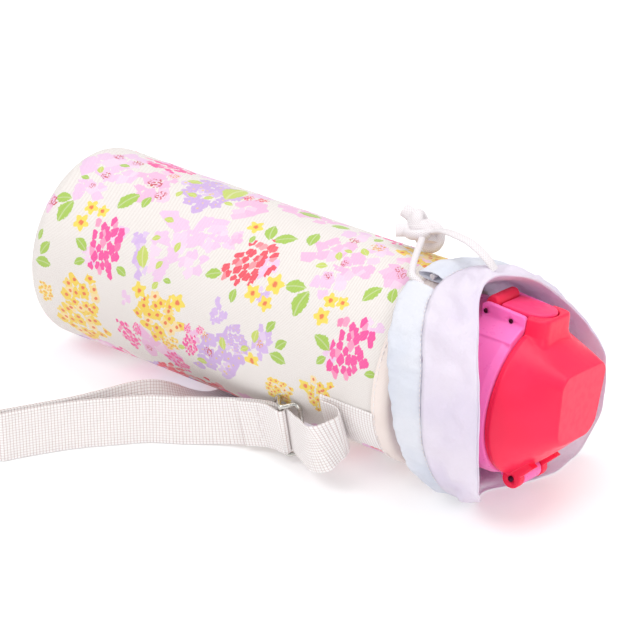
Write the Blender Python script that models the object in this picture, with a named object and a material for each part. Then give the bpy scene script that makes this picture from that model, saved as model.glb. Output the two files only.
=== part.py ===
"""Insulated bottle pouch lying on its side, with a one-touch drinking bottle in it.

Frame: origin at the centre of the pouch's flat base, +X along the pouch to the bottle's cap, +Z up.
The surface that the object lies on is FLOOR below the axis. Angles round the pouch are measured
from its -Y side upwards, so 0 is the near side, 90 the top, 180 the far side and 270 the bottom.
"""

import math

import bmesh
import bpy
from mathutils import Matrix, Vector

FLOOR = 0.0482  # height of the axis above the surface below
GAP = 0.0003  # clearance between pieces that touch

POUCH_R = 0.046
FABRIC = 0.0008
FOAM = 0.0036
LINING = 0.0006
BASE_ROUND = 0.010  # radius of the rounded edge between side and base
BASE_SEAM_R = 0.0365
SIDE_END_X = 0.2066
MOUTH_X = 0.208
BINDING_X = 0.199

FLASK_R = 0.0382
NECK_R = 0.0292
CAP_R = 0.0365
CAP_RIM_X = 0.250
LID_R = 0.0346
LID_END_X = 0.277
LID_WALL = 0.002
BOTTLE_ROLL = math.radians(12)  # the cap's latch leans this far to the far side

HINGE_X = 0.2552
HINGE_Z = -0.0345
HINGE_EAR_R = 0.0046
LATCH_X = 0.2431
LATCH_Z = 0.0365
LOCK_X = 0.2300
LOCK_Z = 0.0373
LATCH_HALF_WIDTH = 0.012
THREAD_PITCH = 0.004

WEB_WIDTH = 0.025
WEB_THICK = 0.0008
WEB_PITCH = 0.0011  # centre to centre of the strap's two layers
CORD_R = 0.0015
LATHE_STEPS = 32  # sides of a large round piece


# Helpers


def clear_scene():
    for thing in list(bpy.data.objects):
        bpy.data.objects.remove(thing, do_unlink=True)


def material(name, colour, roughness, metallic=0.0):
    made = bpy.data.materials.new(name)
    made.use_nodes = True
    shader = made.node_tree.nodes["Principled BSDF"]
    shader.inputs["Base Color"].default_value = (*colour, 1.0)
    shader.inputs["Roughness"].default_value = roughness
    shader.inputs["Metallic"].default_value = metallic
    return made


def add(name, mesh, look, parent=None):
    """A new object holding a bmesh, with its faces turned outwards."""
    bmesh.ops.recalc_face_normals(mesh, faces=mesh.faces)
    if mesh.calc_volume(signed=True) < 0:
        bmesh.ops.reverse_faces(mesh, faces=mesh.faces)
    data = bpy.data.meshes.new(name)
    mesh.to_mesh(data)
    mesh.free()
    thing = bpy.data.objects.new(name, data)
    bpy.context.scene.collection.objects.link(thing)
    data.shade_smooth()
    data.set_sharp_from_angle(angle=math.radians(35))
    if look:
        data.materials.append(look)
    if parent:
        thing.parent = parent
    return thing


def turned(outline, steps=LATHE_STEPS):
    """A closed outline of (x, r) points, turned a full circle round the X axis."""
    mesh = bmesh.new()
    points = [mesh.verts.new((x, 0.0, r)) for x, r in outline]
    on_axis = outline[0][1] == 0.0 and outline[-1][1] == 0.0
    pairs = list(zip(points, points[1:] + points[:1]))
    if on_axis:
        pairs.pop()
    edges = [mesh.edges.new(pair) for pair in pairs]
    bmesh.ops.spin(
        mesh,
        geom=points + edges,
        cent=(0, 0, 0),
        axis=(1, 0, 0),
        dvec=(0, 0, 0),
        angle=math.tau,
        steps=steps,
    )
    bmesh.ops.remove_doubles(mesh, verts=mesh.verts, dist=1e-6)
    return mesh


def lathe(name, outline, look, parent=None, steps=LATHE_STEPS):
    return add(name, turned(outline, steps), look, parent)


def tube_outline(x0, x1, inner, outer):
    return [(x0, inner), (x0, outer), (x1, outer), (x1, inner)]


def slab(outline, low, high):
    """A flat outline of (x, z) points made solid from y = low to y = high."""
    mesh = bmesh.new()
    face = mesh.faces.new([mesh.verts.new((x, low, z)) for x, z in outline])
    grown = bmesh.ops.extrude_face_region(mesh, geom=[face])
    moved = [part for part in grown["geom"] if isinstance(part, bmesh.types.BMVert)]
    bmesh.ops.translate(mesh, verts=moved, vec=(0, high - low, 0))
    return mesh


def arc(cx, cz, radius, start, end, steps=10):
    """Points (x, z) on an arc, its angles in degrees."""
    turns = [math.radians(start + (end - start) * i / steps) for i in range(steps + 1)]
    return [(cx + radius * math.cos(turn), cz + radius * math.sin(turn)) for turn in turns]


def rod(radius, low, high, x, z, sides=16):
    return slab(arc(x, z, radius, 0, 360 - 360 / sides, sides - 1), low, high)


def hidden(name, mesh):
    """A helper for a Boolean, left out of the model."""
    thing = add(name, mesh, None)
    thing.hide_render = True
    thing.display_type = "WIRE"
    return thing


def combine(target, tool, operation):
    change = target.modifiers.new(tool.name, "BOOLEAN")
    change.operation = operation
    change.object = tool
    tool.parent = target.parent


def skin(rings, closed=False):
    """A surface over rings of points: capped at both ends, or closed on itself."""
    mesh = bmesh.new()
    rows = [[mesh.verts.new(point) for point in ring] for ring in rings]
    count = len(rows[0])
    pairs = list(zip(rows, rows[1:] + rows[:1]))
    if not closed:
        pairs.pop()
        mesh.faces.new(rows[0])
        mesh.faces.new(rows[-1])
    for one, two in pairs:
        for i in range(count):
            j = (i + 1) % count
            mesh.faces.new((one[i], one[j], two[j], two[i]))
    return mesh


def smooth_path(points, per_span, closed=False):
    """Points on a Catmull-Rom curve through the given ones, which may have any number of values."""
    count = len(points)
    spans = count if closed else count - 1
    path = []
    for i in range(spans):
        near = [i - 1, i, i + 1, i + 2]
        if closed:
            near = [k % count for k in near]
        else:
            near = [min(max(k, 0), count - 1) for k in near]
        a, b, c, d = (points[k] for k in near)
        for step in range(per_span):
            t = step / per_span
            path.append(tuple(
                0.5 * (2 * q + (r - p) * t + (2 * p - 5 * q + 4 * r - s) * t * t
                       + (3 * q - p - 3 * r + s) * t ** 3)
                for p, q, r, s in zip(a, b, c, d)
            ))
    if not closed:
        path.append(tuple(points[-1]))
    return path


def cord(name, points, radius, look, cyclic=False, resolution=2):
    """A round cord or wire along points, as a bevelled curve."""
    data = bpy.data.curves.new(name, "CURVE")
    data.dimensions = "3D"
    data.bevel_depth = radius
    data.bevel_resolution = resolution
    data.use_fill_caps = True
    spline = data.splines.new("POLY")
    spline.points.add(len(points) - 1)
    spline.use_cyclic_u = cyclic
    for place, point in zip(spline.points, points):
        place.co = (*point, 1.0)
    thing = bpy.data.objects.new(name, data)
    bpy.context.scene.collection.objects.link(thing)
    if look:
        data.materials.append(look)
    return thing


def ribbon(name, stations, look, thick=WEB_THICK, width=WEB_WIDTH):
    """Webbing along stations of (centre, direction of its width)."""
    rings = []
    centres = [Vector(centre) for centre, _ in stations]
    for i, (centre, across) in enumerate(stations):
        ahead = centres[min(i + 1, len(centres) - 1)] - centres[max(i - 1, 0)]
        across = Vector(across).normalized() * width / 2
        out = ahead.cross(across).normalized() * thick / 2
        middle = Vector(centre)
        rings.append([
            middle - across - out,
            middle + across - out,
            middle + across + out,
            middle - across + out,
        ])
    return add(name, skin(rings), look)


# Pouch


def build_pouch(looks):
    seam = math.degrees(math.acos((BASE_SEAM_R - POUCH_R + BASE_ROUND) / BASE_ROUND))
    outer = arc(BASE_ROUND, POUCH_R - BASE_ROUND, BASE_ROUND, 90 + seam, 90, 5)
    outer.append((SIDE_END_X, POUCH_R))
    thinner = BASE_ROUND - FABRIC
    inner = arc(BASE_ROUND, POUCH_R - BASE_ROUND, thinner, 90, 90 + seam, 5)
    lathe("outer_shell", outer + [(SIDE_END_X, POUCH_R - FABRIC)] + inner, looks["floral_fabric"])
    panel = [(0, 0), (0, BASE_SEAM_R - 0.0008), (FABRIC, BASE_SEAM_R - 0.0008), (FABRIC, 0)]
    lathe("base_panel", panel, looks["floral_fabric"])

    foam_outer = POUCH_R - FABRIC - GAP
    foam_inner = foam_outer - FOAM
    base_foam_x = FABRIC + GAP
    side_foam_x = base_foam_x + FOAM + GAP
    lathe("shell_foam", [
        (side_foam_x, foam_inner),
        (side_foam_x, foam_outer - 0.0022),
        (BASE_ROUND, foam_outer),
        (SIDE_END_X, foam_outer),
        (SIDE_END_X, foam_inner),
    ], looks["foam"])
    lathe("base_foam", [
        (base_foam_x, 0),
        (base_foam_x, 0.0355),
        (side_foam_x - GAP, 0.0405),
        (side_foam_x - GAP, 0),
    ], looks["foam"])
    lining_outer = foam_inner - GAP
    lining_inner = lining_outer - LINING
    lathe("lining", tube_outline(side_foam_x, SIDE_END_X, lining_inner, lining_outer), looks["lining"])
    lathe("lining_base", [
        (side_foam_x, 0),
        (side_foam_x, lining_inner - GAP),
        (side_foam_x + LINING, lining_inner - GAP),
        (side_foam_x + LINING, 0),
    ], looks["lining"])
    tape = 0.0006
    out_r = POUCH_R + GAP
    in_r = lining_inner - GAP
    lathe("mouth_binding", [
        (BINDING_X, out_r),
        (BINDING_X, out_r + tape),
        (MOUTH_X - 0.0004, out_r + tape),
        (MOUTH_X, out_r),
        (MOUTH_X, in_r),
        (MOUTH_X - 0.0004, in_r - tape),
        (BINDING_X, in_r - tape),
        (BINDING_X, in_r),
        (SIDE_END_X + GAP, in_r),
        (SIDE_END_X + GAP, out_r),
    ], looks["binding"])


# Collar: each row is (angle, rim x, rim r, seam x, free edge x) going once round

COLLAR = (
    (-71, 0.238, 0.0535, 0.2345, 0.2230),
    (-48, 0.250, 0.0540, 0.2335, 0.2205),
    (-24, 0.2568, 0.0540, 0.2320, 0.2175),
    (-5, 0.2585, 0.0540, 0.2300, 0.2145),
    (13, 0.2575, 0.0540, 0.2280, 0.2110),
    (30, 0.2535, 0.0540, 0.2245, 0.2055),
    (47, 0.2470, 0.0545, 0.2180, 0.2005),
    (62, 0.2400, 0.0550, 0.2130, 0.1975),
    (76, 0.2330, 0.0550, 0.2110, 0.1970),
    (90, 0.2310, 0.0550, 0.2140, 0.2000),
    (104, 0.2380, 0.0530, 0.2200, 0.2060),
    (118, 0.2430, 0.0500, 0.2260, 0.2120),
    (136, 0.2475, 0.0475, 0.2310, 0.2170),
    (156, 0.2560, 0.0462, 0.2350, 0.2200),
    (174, 0.2625, 0.0460, 0.2370, 0.2220),
    (192, 0.2635, 0.0475, 0.2380, 0.2235),
    (211, 0.2630, 0.0525, 0.2390, 0.2245),
    (231, 0.2570, 0.0600, 0.2400, 0.2250),
    (248, 0.2560, 0.0540, 0.2400, 0.2250),
    (266, 0.2490, 0.0535, 0.2385, 0.2240),
)
COLLAR_STEPS = 2  # stations between two rows
NYLON = 0.0006
COLLAR_START_X = MOUTH_X + 0.0005
COLLAR_START_R = 0.0392
COLLAR_MID_X = 0.222
COLLAR_MID_R = 0.0458
CHANNEL_R = 0.0505
CHANNEL_HALF = 0.0023
CHANNEL_WALL = 0.0004
CHANNEL_STEPS = 40
UNDER_CHANNEL_R = CHANNEL_R - CHANNEL_HALF - GAP
CHANNEL_FROM = 76 + 4  # the channel runs from this angle, down the far side and round ...
CHANNEL_TO = 76 - 4  # ... to this one, and the drawstring leaves through the notch between


def around(x, r, angle, depth=0.0):
    """A point round the pouch, kept above the surface below by depth."""
    turn = math.radians(angle)
    if math.sin(turn) < -0.3:
        r = min(r, (FLOOR - 0.0002) / -math.sin(turn) - depth)
    return (x, -r * math.cos(turn), r * math.sin(turn))


def collar_rows():
    rows = list(COLLAR)
    count = len(rows)
    wrapped = [(row[0] + 360, *row[1:]) for row in rows]
    before = [(row[0] - 360, *row[1:]) for row in rows]
    long = before[-2:] + rows + wrapped[:3]
    path = smooth_path(long, COLLAR_STEPS)
    first = 2 * COLLAR_STEPS
    return path[first:first + count * COLLAR_STEPS]


def build_collar(looks):
    rings = []
    for angle, rim_x, rim_r, seam_x, _ in collar_rows():
        back = seam_x + GAP
        deep = 2 * CHANNEL_HALF + GAP
        share = (back - COLLAR_MID_X) / (rim_x - COLLAR_MID_X)
        under = min(COLLAR_MID_R + (rim_r - 0.0014 - COLLAR_MID_R) * max(share, 0.0), UNDER_CHANNEL_R)
        section = (
            (COLLAR_START_X, COLLAR_START_R, deep + NYLON),
            (COLLAR_MID_X, COLLAR_MID_R - NYLON, deep + NYLON),
            (max(back, COLLAR_MID_X + 0.001), under - NYLON, deep + NYLON),
            (rim_x - 0.0012, rim_r - 0.0014, 0.0014),
            (rim_x, rim_r - 0.0004, 0.0004),
            (rim_x - 0.0010, rim_r, 0.0),
            (back, 0.0524, 0.0),
            (back, 0.0524 - NYLON, NYLON),
            (rim_x - 0.0032, rim_r - 0.0011, 0.0008),
            (max(back, COLLAR_MID_X + 0.001), under, deep),
            (COLLAR_MID_X, COLLAR_MID_R, deep),
            (COLLAR_START_X, COLLAR_START_R + NYLON, deep),
        )
        rings.append([around(x, r, angle, depth) for x, r, depth in section])
    add("collar_skirt", skin(rings, closed=True), looks["nylon"])


def channel_at(angle):
    """(free edge x, seam x) of the drawstring channel at any angle."""
    rows = list(COLLAR)
    rows.append((rows[0][0] + 360, *rows[0][1:]))
    angle = (angle - rows[0][0]) % 360 + rows[0][0]
    for one, two in zip(rows, rows[1:]):
        if one[0] <= angle <= two[0]:
            share = (angle - one[0]) / (two[0] - one[0])
            return tuple(a + (b - a) * share for a, b in ((one[4], two[4]), (one[3], two[3])))
    raise ValueError(angle)


def build_channel(looks):
    """A flat tube of nylon with open ends, which holds the drawstring."""
    sweep = 360 - (CHANNEL_FROM - CHANNEL_TO)
    outside = []
    inside = []
    for i in range(CHANNEL_STEPS + 1):
        angle = CHANNEL_FROM + sweep * i / CHANNEL_STEPS
        free_x, seam_x = channel_at(angle)
        for rings, wall in ((outside, 0.0), (inside, CHANNEL_WALL)):
            half = CHANNEL_HALF - wall
            low = free_x + wall
            high = seam_x - wall
            section = (
                (low, 0.0),
                (low + 0.002, half),
                (high - 0.002, half),
                (high, 0.0),
                (high - 0.002, -half),
                (low + 0.002, -half),
            )
            rings.append([
                around(x, CHANNEL_R + out, angle, CHANNEL_HALF - out) for x, out in section
            ])
    mesh = bmesh.new()
    both = [[[mesh.verts.new(p) for p in ring] for ring in rings] for rings in (outside, inside)]
    count = len(outside[0])
    for rows in both:
        for one, two in zip(rows, rows[1:]):
            for i in range(count):
                j = (i + 1) % count
                mesh.faces.new((one[i], one[j], two[j], two[i]))
    for end in (0, -1):
        for i in range(count):
            j = (i + 1) % count
            mesh.faces.new((both[0][end][i], both[0][end][j], both[1][end][j], both[1][end][i]))
    add("cord_channel", mesh, looks["nylon_hem"])


# Drawstring: both ends leave the channel at the notch on top and meet in a knot

KNOT = (0.181, 0.020, 0.0520)
KNOT_RADII = (0.0100, 0.0070, 0.0070)
NEAR_END = (
    (0.2030, -0.0120, 0.0560),
    (0.1995, -0.0080, 0.0585),
    (0.1955, -0.0010, 0.0590),
    (0.1920, 0.0060, 0.0575),
    (0.1895, 0.0118, 0.0553),
)
FAR_END = (
    (0.2290, 0.0060, 0.0575),
    (0.2240, 0.0055, 0.0605),
    (0.2150, 0.0070, 0.0625),
    (0.2050, 0.0100, 0.0620),
    (0.1975, 0.0135, 0.0598),
    (0.1925, 0.0165, 0.0572),
)


def build_drawstring(looks):
    sweep = 360 - (CHANNEL_FROM - CHANNEL_TO)
    held = []
    for i in range(CHANNEL_STEPS + 1):
        angle = CHANNEL_FROM + sweep * i / CHANNEL_STEPS
        free_x, seam_x = channel_at(angle)
        held.append(around((free_x + seam_x) / 2, CHANNEL_R, angle, CHANNEL_HALF))
    cord("drawstring", held, CORD_R, looks["cord"])
    cord("drawstring_end_near", smooth_path(NEAR_END, 3), CORD_R, looks["cord"])
    cord("drawstring_end_far", smooth_path(FAR_END, 3), CORD_R, looks["cord"])
    mesh = bmesh.new()
    bmesh.ops.create_icosphere(mesh, subdivisions=2, radius=1.0)
    bmesh.ops.transform(mesh, matrix=Matrix.Diagonal((*KNOT_RADII, 1.0)), verts=mesh.verts)
    knot = add("drawstring_knot", mesh, looks["cord"])
    knot.location = KNOT
    knot.rotation_euler = (0.0, 0.15, -0.35)


# Strap: each row of the route is (x, y, lean from standing to flat in degrees, lift off the surface)

SLIDER = (0.1520, -0.0450)
SLIDER_LIFT = 0.0065
SLIDER_LEAN = 10
FOLD_R = 0.0016
FRONT_RUN = (
    (SLIDER[0], SLIDER[1], SLIDER_LEAN, SLIDER_LIFT),
    (0.1395, -0.0446, 7, 0.0040),
    (0.1225, -0.0490, 2, 0.0010),
    (0.1040, -0.0598, 0, 0),
    (0.0910, -0.0675, 0, 0),
    (0.0795, -0.0780, 0, 0),
    (0.0650, -0.0925, 0, 0),
    (0.0520, -0.1095, 0, 0),
    (0.0463, -0.1180, 0, 0),
)
BACK_RUN = (
    (0.0560, -0.0990, 0, 0),
    (0.0640, -0.0875, 0, 0),
    (0.0735, -0.0725, 6, 0),
    (0.0810, -0.0610, 22, 0),
    (0.0885, -0.0500, 48, 0),
    (0.0955, -0.0380, 72, 0),
    (0.1010, -0.0245, 88, 0),
    (0.1045, -0.0100, 90, 0),
    (0.1070, 0.0060, 90, 0),
    (0.1090, 0.0220, 90, 0),
    (0.1110, 0.0380, 78, 0),
    (0.1140, 0.0520, 50, 0),
    (0.1200, 0.0650, 20, 0),
    (0.1310, 0.0735, 0, 0.0030),
    (0.1440, 0.0740, 0, 0.0120),
    (0.1550, 0.0680, 0, 0.0210),
    (0.1635, 0.0590, 0, 0.0280),
)
RING = (0.1712, 0.0500, -0.0040)  # the far ring's bar that holds the strap
RING_REACH = 0.0080
WIRE_R = 0.0011
WRAP_R = WIRE_R + GAP + WEB_THICK / 2 + 0.0001
BAR_R = 0.0010
BAR_WRAP_R = BAR_R + GAP + WEB_THICK / 2
FLAP = 0.026
TAB_ANGLE = -20.0
TAB_HALF_ANGLE = 15.5


def strap_base():
    """The line midway between the strap's two layers, with its fold at the left."""
    end = Vector(FRONT_RUN[-1][:2])
    heading = (end - Vector(FRONT_RUN[-2][:2])).normalized()
    side = Vector((heading.y, -heading.x))
    centre = end + side * FOLD_R
    fold = []
    for i in range(1, 7):
        turn = math.radians(180 * i / 6)
        place = centre - side * FOLD_R * math.cos(turn) + heading * FOLD_R * math.sin(turn)
        fold.append((place.x, place.y, 0, 0))
    front = smooth_path(FRONT_RUN, 3)
    back = smooth_path([fold[-1]] + list(BACK_RUN), 3)
    return front + fold[:-1] + back


def strap_frames(base):
    """(centre, width direction, layer direction) at each point of the base line."""
    frames = []
    thickness = (WEB_PITCH + WEB_THICK) / 2
    for i, (x, y, lean, lift) in enumerate(base):
        one = base[max(i - 1, 0)]
        two = base[min(i + 1, len(base) - 1)]
        ahead = Vector((two[0] - one[0], two[1] - one[1], 0)).normalized()
        left = Vector((-ahead.y, ahead.x, 0))
        turn = math.radians(lean)
        height = WEB_WIDTH / 2 * math.cos(turn) + thickness * math.sin(turn) + lift
        across = Vector((0, 0, 1)) * math.cos(turn) + left * math.sin(turn)
        frames.append((Vector((x, y, height - FLOOR)), across, ahead.cross(across)))
    return frames


def on_tab(x, out):
    """A point above the near tab, out from the pouch's surface."""
    return Vector(around(x, POUCH_R + GAP + out, TAB_ANGLE))


def near_loop(start, across):
    """Stations from the strap's end, sewn on the near tab, out round the loop to the slider."""
    turn = math.radians(TAB_ANGLE)
    tangent = Vector((0, math.sin(turn), math.cos(turn)))
    rise = WEB_THICK + GAP + WEB_THICK / 2
    rows = [
        (on_tab(0.1740, rise), tangent),
        (on_tab(0.1790, rise), tangent),
        (on_tab(0.1822, rise + 0.0004), tangent),
        (on_tab(0.1840, rise + 0.0018), tangent),
        (on_tab(0.1842, rise + 0.0036), tangent),
        (on_tab(0.1826, rise + 0.0052), tangent),
        (Vector((0.1775, -0.0502, -0.0215)), tangent),
        (Vector((0.1700, -0.0500, -0.0270)), Vector((0, -0.25, 0.97))),
        (Vector((0.1630, -0.0490, -0.0295)), Vector((0, -0.20, 0.98))),
        (start, across),
    ]
    flat = smooth_path([(*centre, *tilt) for centre, tilt in rows], 3)
    return [(row[:3], row[3:]) for row in flat[:-1]]


def ring_wrap(frames):
    centre, _, _ = frames[-1]
    bar = Vector((RING[0], RING[1], centre.z))
    heading = bar - centre
    heading.z = 0
    heading.normalize()
    side = heading.cross(Vector((0, 0, 1)))
    up = Vector((0, 0, RING[2] - centre.z))
    stations = []
    for i in range(9):
        turn = math.radians(180 * i / 8)
        place = bar + (side * math.cos(turn) + heading * math.sin(turn)) * WRAP_R
        stations.append((place + up, Vector((0, 0, 1))))
    return stations


def bar_wrap(frames):
    """The strap's other end: round the slider's bar, then back along the front as a sewn flap."""
    centre, across, out = frames[0]
    heading = (frames[1][0] - centre).normalized()
    heading.z = 0
    bar = centre - out * (WEB_PITCH / 2 + BAR_WRAP_R) - heading * 0.0005
    stations = []
    for i in range(1, 8):
        turn = math.radians(180 * i / 8)
        place = bar + (out * math.cos(turn) - heading * math.sin(turn)) * BAR_WRAP_R
        stations.append((place, across))
    flap_rows = [(bar - out * BAR_WRAP_R, across)]
    travelled = 0.0
    for one, two in zip(frames, frames[1:]):
        travelled += (two[0] - one[0]).length
        if travelled > FLAP:
            break
        ease = min(travelled / 0.010, 1.0)
        offset = WEB_PITCH * 1.5 + (1 - ease) * 2 * (BAR_WRAP_R - WEB_PITCH / 2)
        flap_rows.append((two[0] - two[2] * offset, two[1]))
    return bar, heading, stations + flap_rows


def build_strap(looks):
    frames = strap_frames(strap_base())
    half = WEB_PITCH / 2
    behind = [(centre + out * half, across) for centre, across, out in frames]
    front = [(centre - out * half, across) for centre, across, out in reversed(frames)]
    bar, heading, flap = bar_wrap(frames)
    start = near_loop(*behind[0])
    ribbon("strap_webbing", start + behind + ring_wrap(frames) + front + flap, looks["webbing"])
    build_slider(bar, heading, frames[0], looks)
    build_ring(looks)


def wire_mesh(points, radius, cyclic):
    thing = cord("wire", points, radius, None, cyclic)
    data = bpy.data.meshes.new_from_object(thing)
    bpy.data.objects.remove(thing, do_unlink=True)
    mesh = bmesh.new()
    mesh.from_mesh(data)
    bmesh.ops.remove_doubles(mesh, verts=mesh.verts, dist=1e-7)
    return mesh


def build_slider(bar, heading, frame, looks):
    """An oval wire frame behind the webbing, bowed forward to its middle bar."""
    centre, across, out = frame
    reach = 0.0072
    tall = WEB_WIDTH / 2 + 2 * GAP + WIRE_R
    rail = WEB_PITCH / 2 + WEB_THICK / 2 + 2 * GAP + WIRE_R
    bow = (bar - centre).dot(out)
    points = []
    for end in (1, -1):
        for i in range(13):
            along = end * (-1 + 2 * i / 12)
            forward = rail + (bow - rail) * 0.5 * (1 + math.cos(math.pi * min(abs(along) * 1.25, 1)))
            drop = 0.0026 * max(0.0, abs(along) - 0.62) ** 2 / 0.1444
            place = bar + heading * along * reach + out * (forward - bow) + across * end * (tall - drop)
            points.append(tuple(place))
    slider = add("strap_slider", wire_mesh(points, WIRE_R, True), looks["steel"])
    post = rod(BAR_R, -tall, tall, 0, 0, 12)
    tilt = Matrix((heading, across, out)).transposed()
    bmesh.ops.rotate(post, cent=(0, 0, 0), matrix=tilt, verts=post.verts)
    bmesh.ops.translate(post, verts=post.verts, vec=bar)
    combine(slider, hidden("slider_bar", post), "UNION")


def build_ring(looks):
    x, y, z = RING
    tall = WEB_WIDTH / 2 + GAP + WIRE_R + 0.0008
    corner = 0.003
    points = []
    for cx, cz, start in (
        (x + RING_REACH - corner, z + tall - corner, 0),
        (x + corner, z + tall - corner, 90),
        (x + corner, z - tall + corner, 180),
        (x + RING_REACH - corner, z - tall + corner, 270),
    ):
        points += [(px, y, pz) for px, pz in arc(cx, cz, corner, start, start + 90, 4)]
    cord("strap_ring", points, WIRE_R, looks["steel"], cyclic=True)
    far_x = x + RING_REACH
    near_leg = POUCH_R + GAP + WEB_THICK / 2 + 0.0001
    up = Vector((0, 0, 1))
    rows = [
        (BINDING_X - GAP, near_leg),
        (0.1920, near_leg),
        (0.1860, near_leg + 0.0004),
        (far_x + 0.0022, y - 0.0017),
    ]
    stations = [(Vector((px, py, z)), up) for px, py in rows]
    for i in range(9):
        turn = math.radians(-90 - 180 * i / 8)
        place = (far_x + WRAP_R * math.cos(turn), y + WRAP_R * math.sin(turn), z)
        stations.append((Vector(place), up))
    for px, py in ((far_x + 0.0022, y + 0.0017), (0.1870, y + 0.0002), (0.1930, y - 0.0010)):
        stations.append((Vector((px, py, z)), up))
    ribbon("strap_tab_far", stations, looks["webbing"])


def build_near_tab(looks):
    """A curved strip of webbing on the pouch's side, sewn in under the binding."""
    rings = []
    steps = 8
    low = POUCH_R + GAP
    high = low + WEB_THICK
    for i in range(steps + 1):
        angle = TAB_ANGLE + TAB_HALF_ANGLE * (2 * i / steps - 1)
        corners = ((0.1715, low), (BINDING_X - GAP, low), (BINDING_X - GAP, high), (0.1715, high))
        rings.append([around(x, r, angle) for x, r in corners])
    add("strap_tab_near", skin(rings), looks["webbing"])


# Bottle


def build_flask(looks, frame):
    base_x = 0.0062
    lathe("base_cover", [
        (base_x, 0),
        (base_x, FLASK_R - 0.0015),
        (base_x + 0.0015, FLASK_R + 0.0004),
        (0.0180, FLASK_R + 0.0004),
        (0.0180, FLASK_R - 0.0006),
        (0.0088, FLASK_R - 0.0006),
        (0.0088, 0),
    ], looks["base_plastic"], frame)
    wall = 0.0006
    side = FLASK_R - 0.0009
    lip_x = 0.2365
    lathe("flask_outer", [
        (0.0095, 0),
        (0.0095, side - 0.004),
        (0.0120, side),
        (0.0300, side),
        (0.0310, FLASK_R),
        (0.1990, FLASK_R),
        (0.2070, NECK_R + 0.0040),
        (0.2090, NECK_R),
        (lip_x, NECK_R),
        (lip_x, NECK_R - wall),
        (0.2088, NECK_R - wall),
        (0.2066, NECK_R + 0.0036),
        (0.1986, FLASK_R - wall),
        (0.0314, FLASK_R - wall),
        (0.0304, side - wall),
        (0.0124, side - wall),
        (0.0101, side - 0.0044),
        (0.0101, 0),
    ], looks["steel_flask"], frame)
    bore = 0.0275
    lathe("flask_inner", [
        (0.0150, 0),
        (0.0150, 0.0300),
        (0.0200, 0.0355),
        (0.1960, 0.0355),
        (0.2060, bore + wall + 0.0030),
        (0.2085, bore + wall),
        (lip_x + GAP, bore + wall),
        (lip_x + GAP, NECK_R),
        (lip_x + 0.0010, NECK_R),
        (lip_x + 0.0010, bore),
        (0.2082, bore),
        (0.2054, bore + 0.0028),
        (0.1956, 0.0349),
        (0.0204, 0.0349),
        (0.0156, 0.0296),
        (0.0156, 0),
    ], looks["steel_flask"], frame)
    thread = lathe("neck_thread", tube_outline(0.2150, 0.2340, NECK_R + GAP, NECK_R + 0.0010),
                   looks["steel_flask"], frame)
    ridge = bmesh.new()
    corners = ((0.2165, 0.0006), (0.2174, 0.0016), (0.2183, 0.0016), (0.2192, 0.0006))
    loop = [ridge.verts.new((x, 0, NECK_R + r)) for x, r in corners]
    first = ridge.faces.new(loop)
    bmesh.ops.spin(
        ridge, geom=[first], cent=(0, 0, 0), axis=(1, 0, 0),
        dvec=(THREAD_PITCH / 16, 0, 0), angle=math.tau * 2, steps=32)
    helix = hidden("thread_ridge", ridge)
    combine(thread, helix, "UNION")


def latch_tower():
    """The block on the cap with a wall on each side of the button and the lock."""
    top = 0.0415
    outline = [
        (0.2285, 0.0310),
        (0.2499, 0.0310),
        (0.2504, 0.0355),
        (0.2504, 0.0390),
        (0.2490, 0.0403),
        (0.2300, top),
        (0.2275, 0.0400),
    ]
    return slab(outline, -LATCH_HALF_WIDTH, LATCH_HALF_WIDTH)


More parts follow.
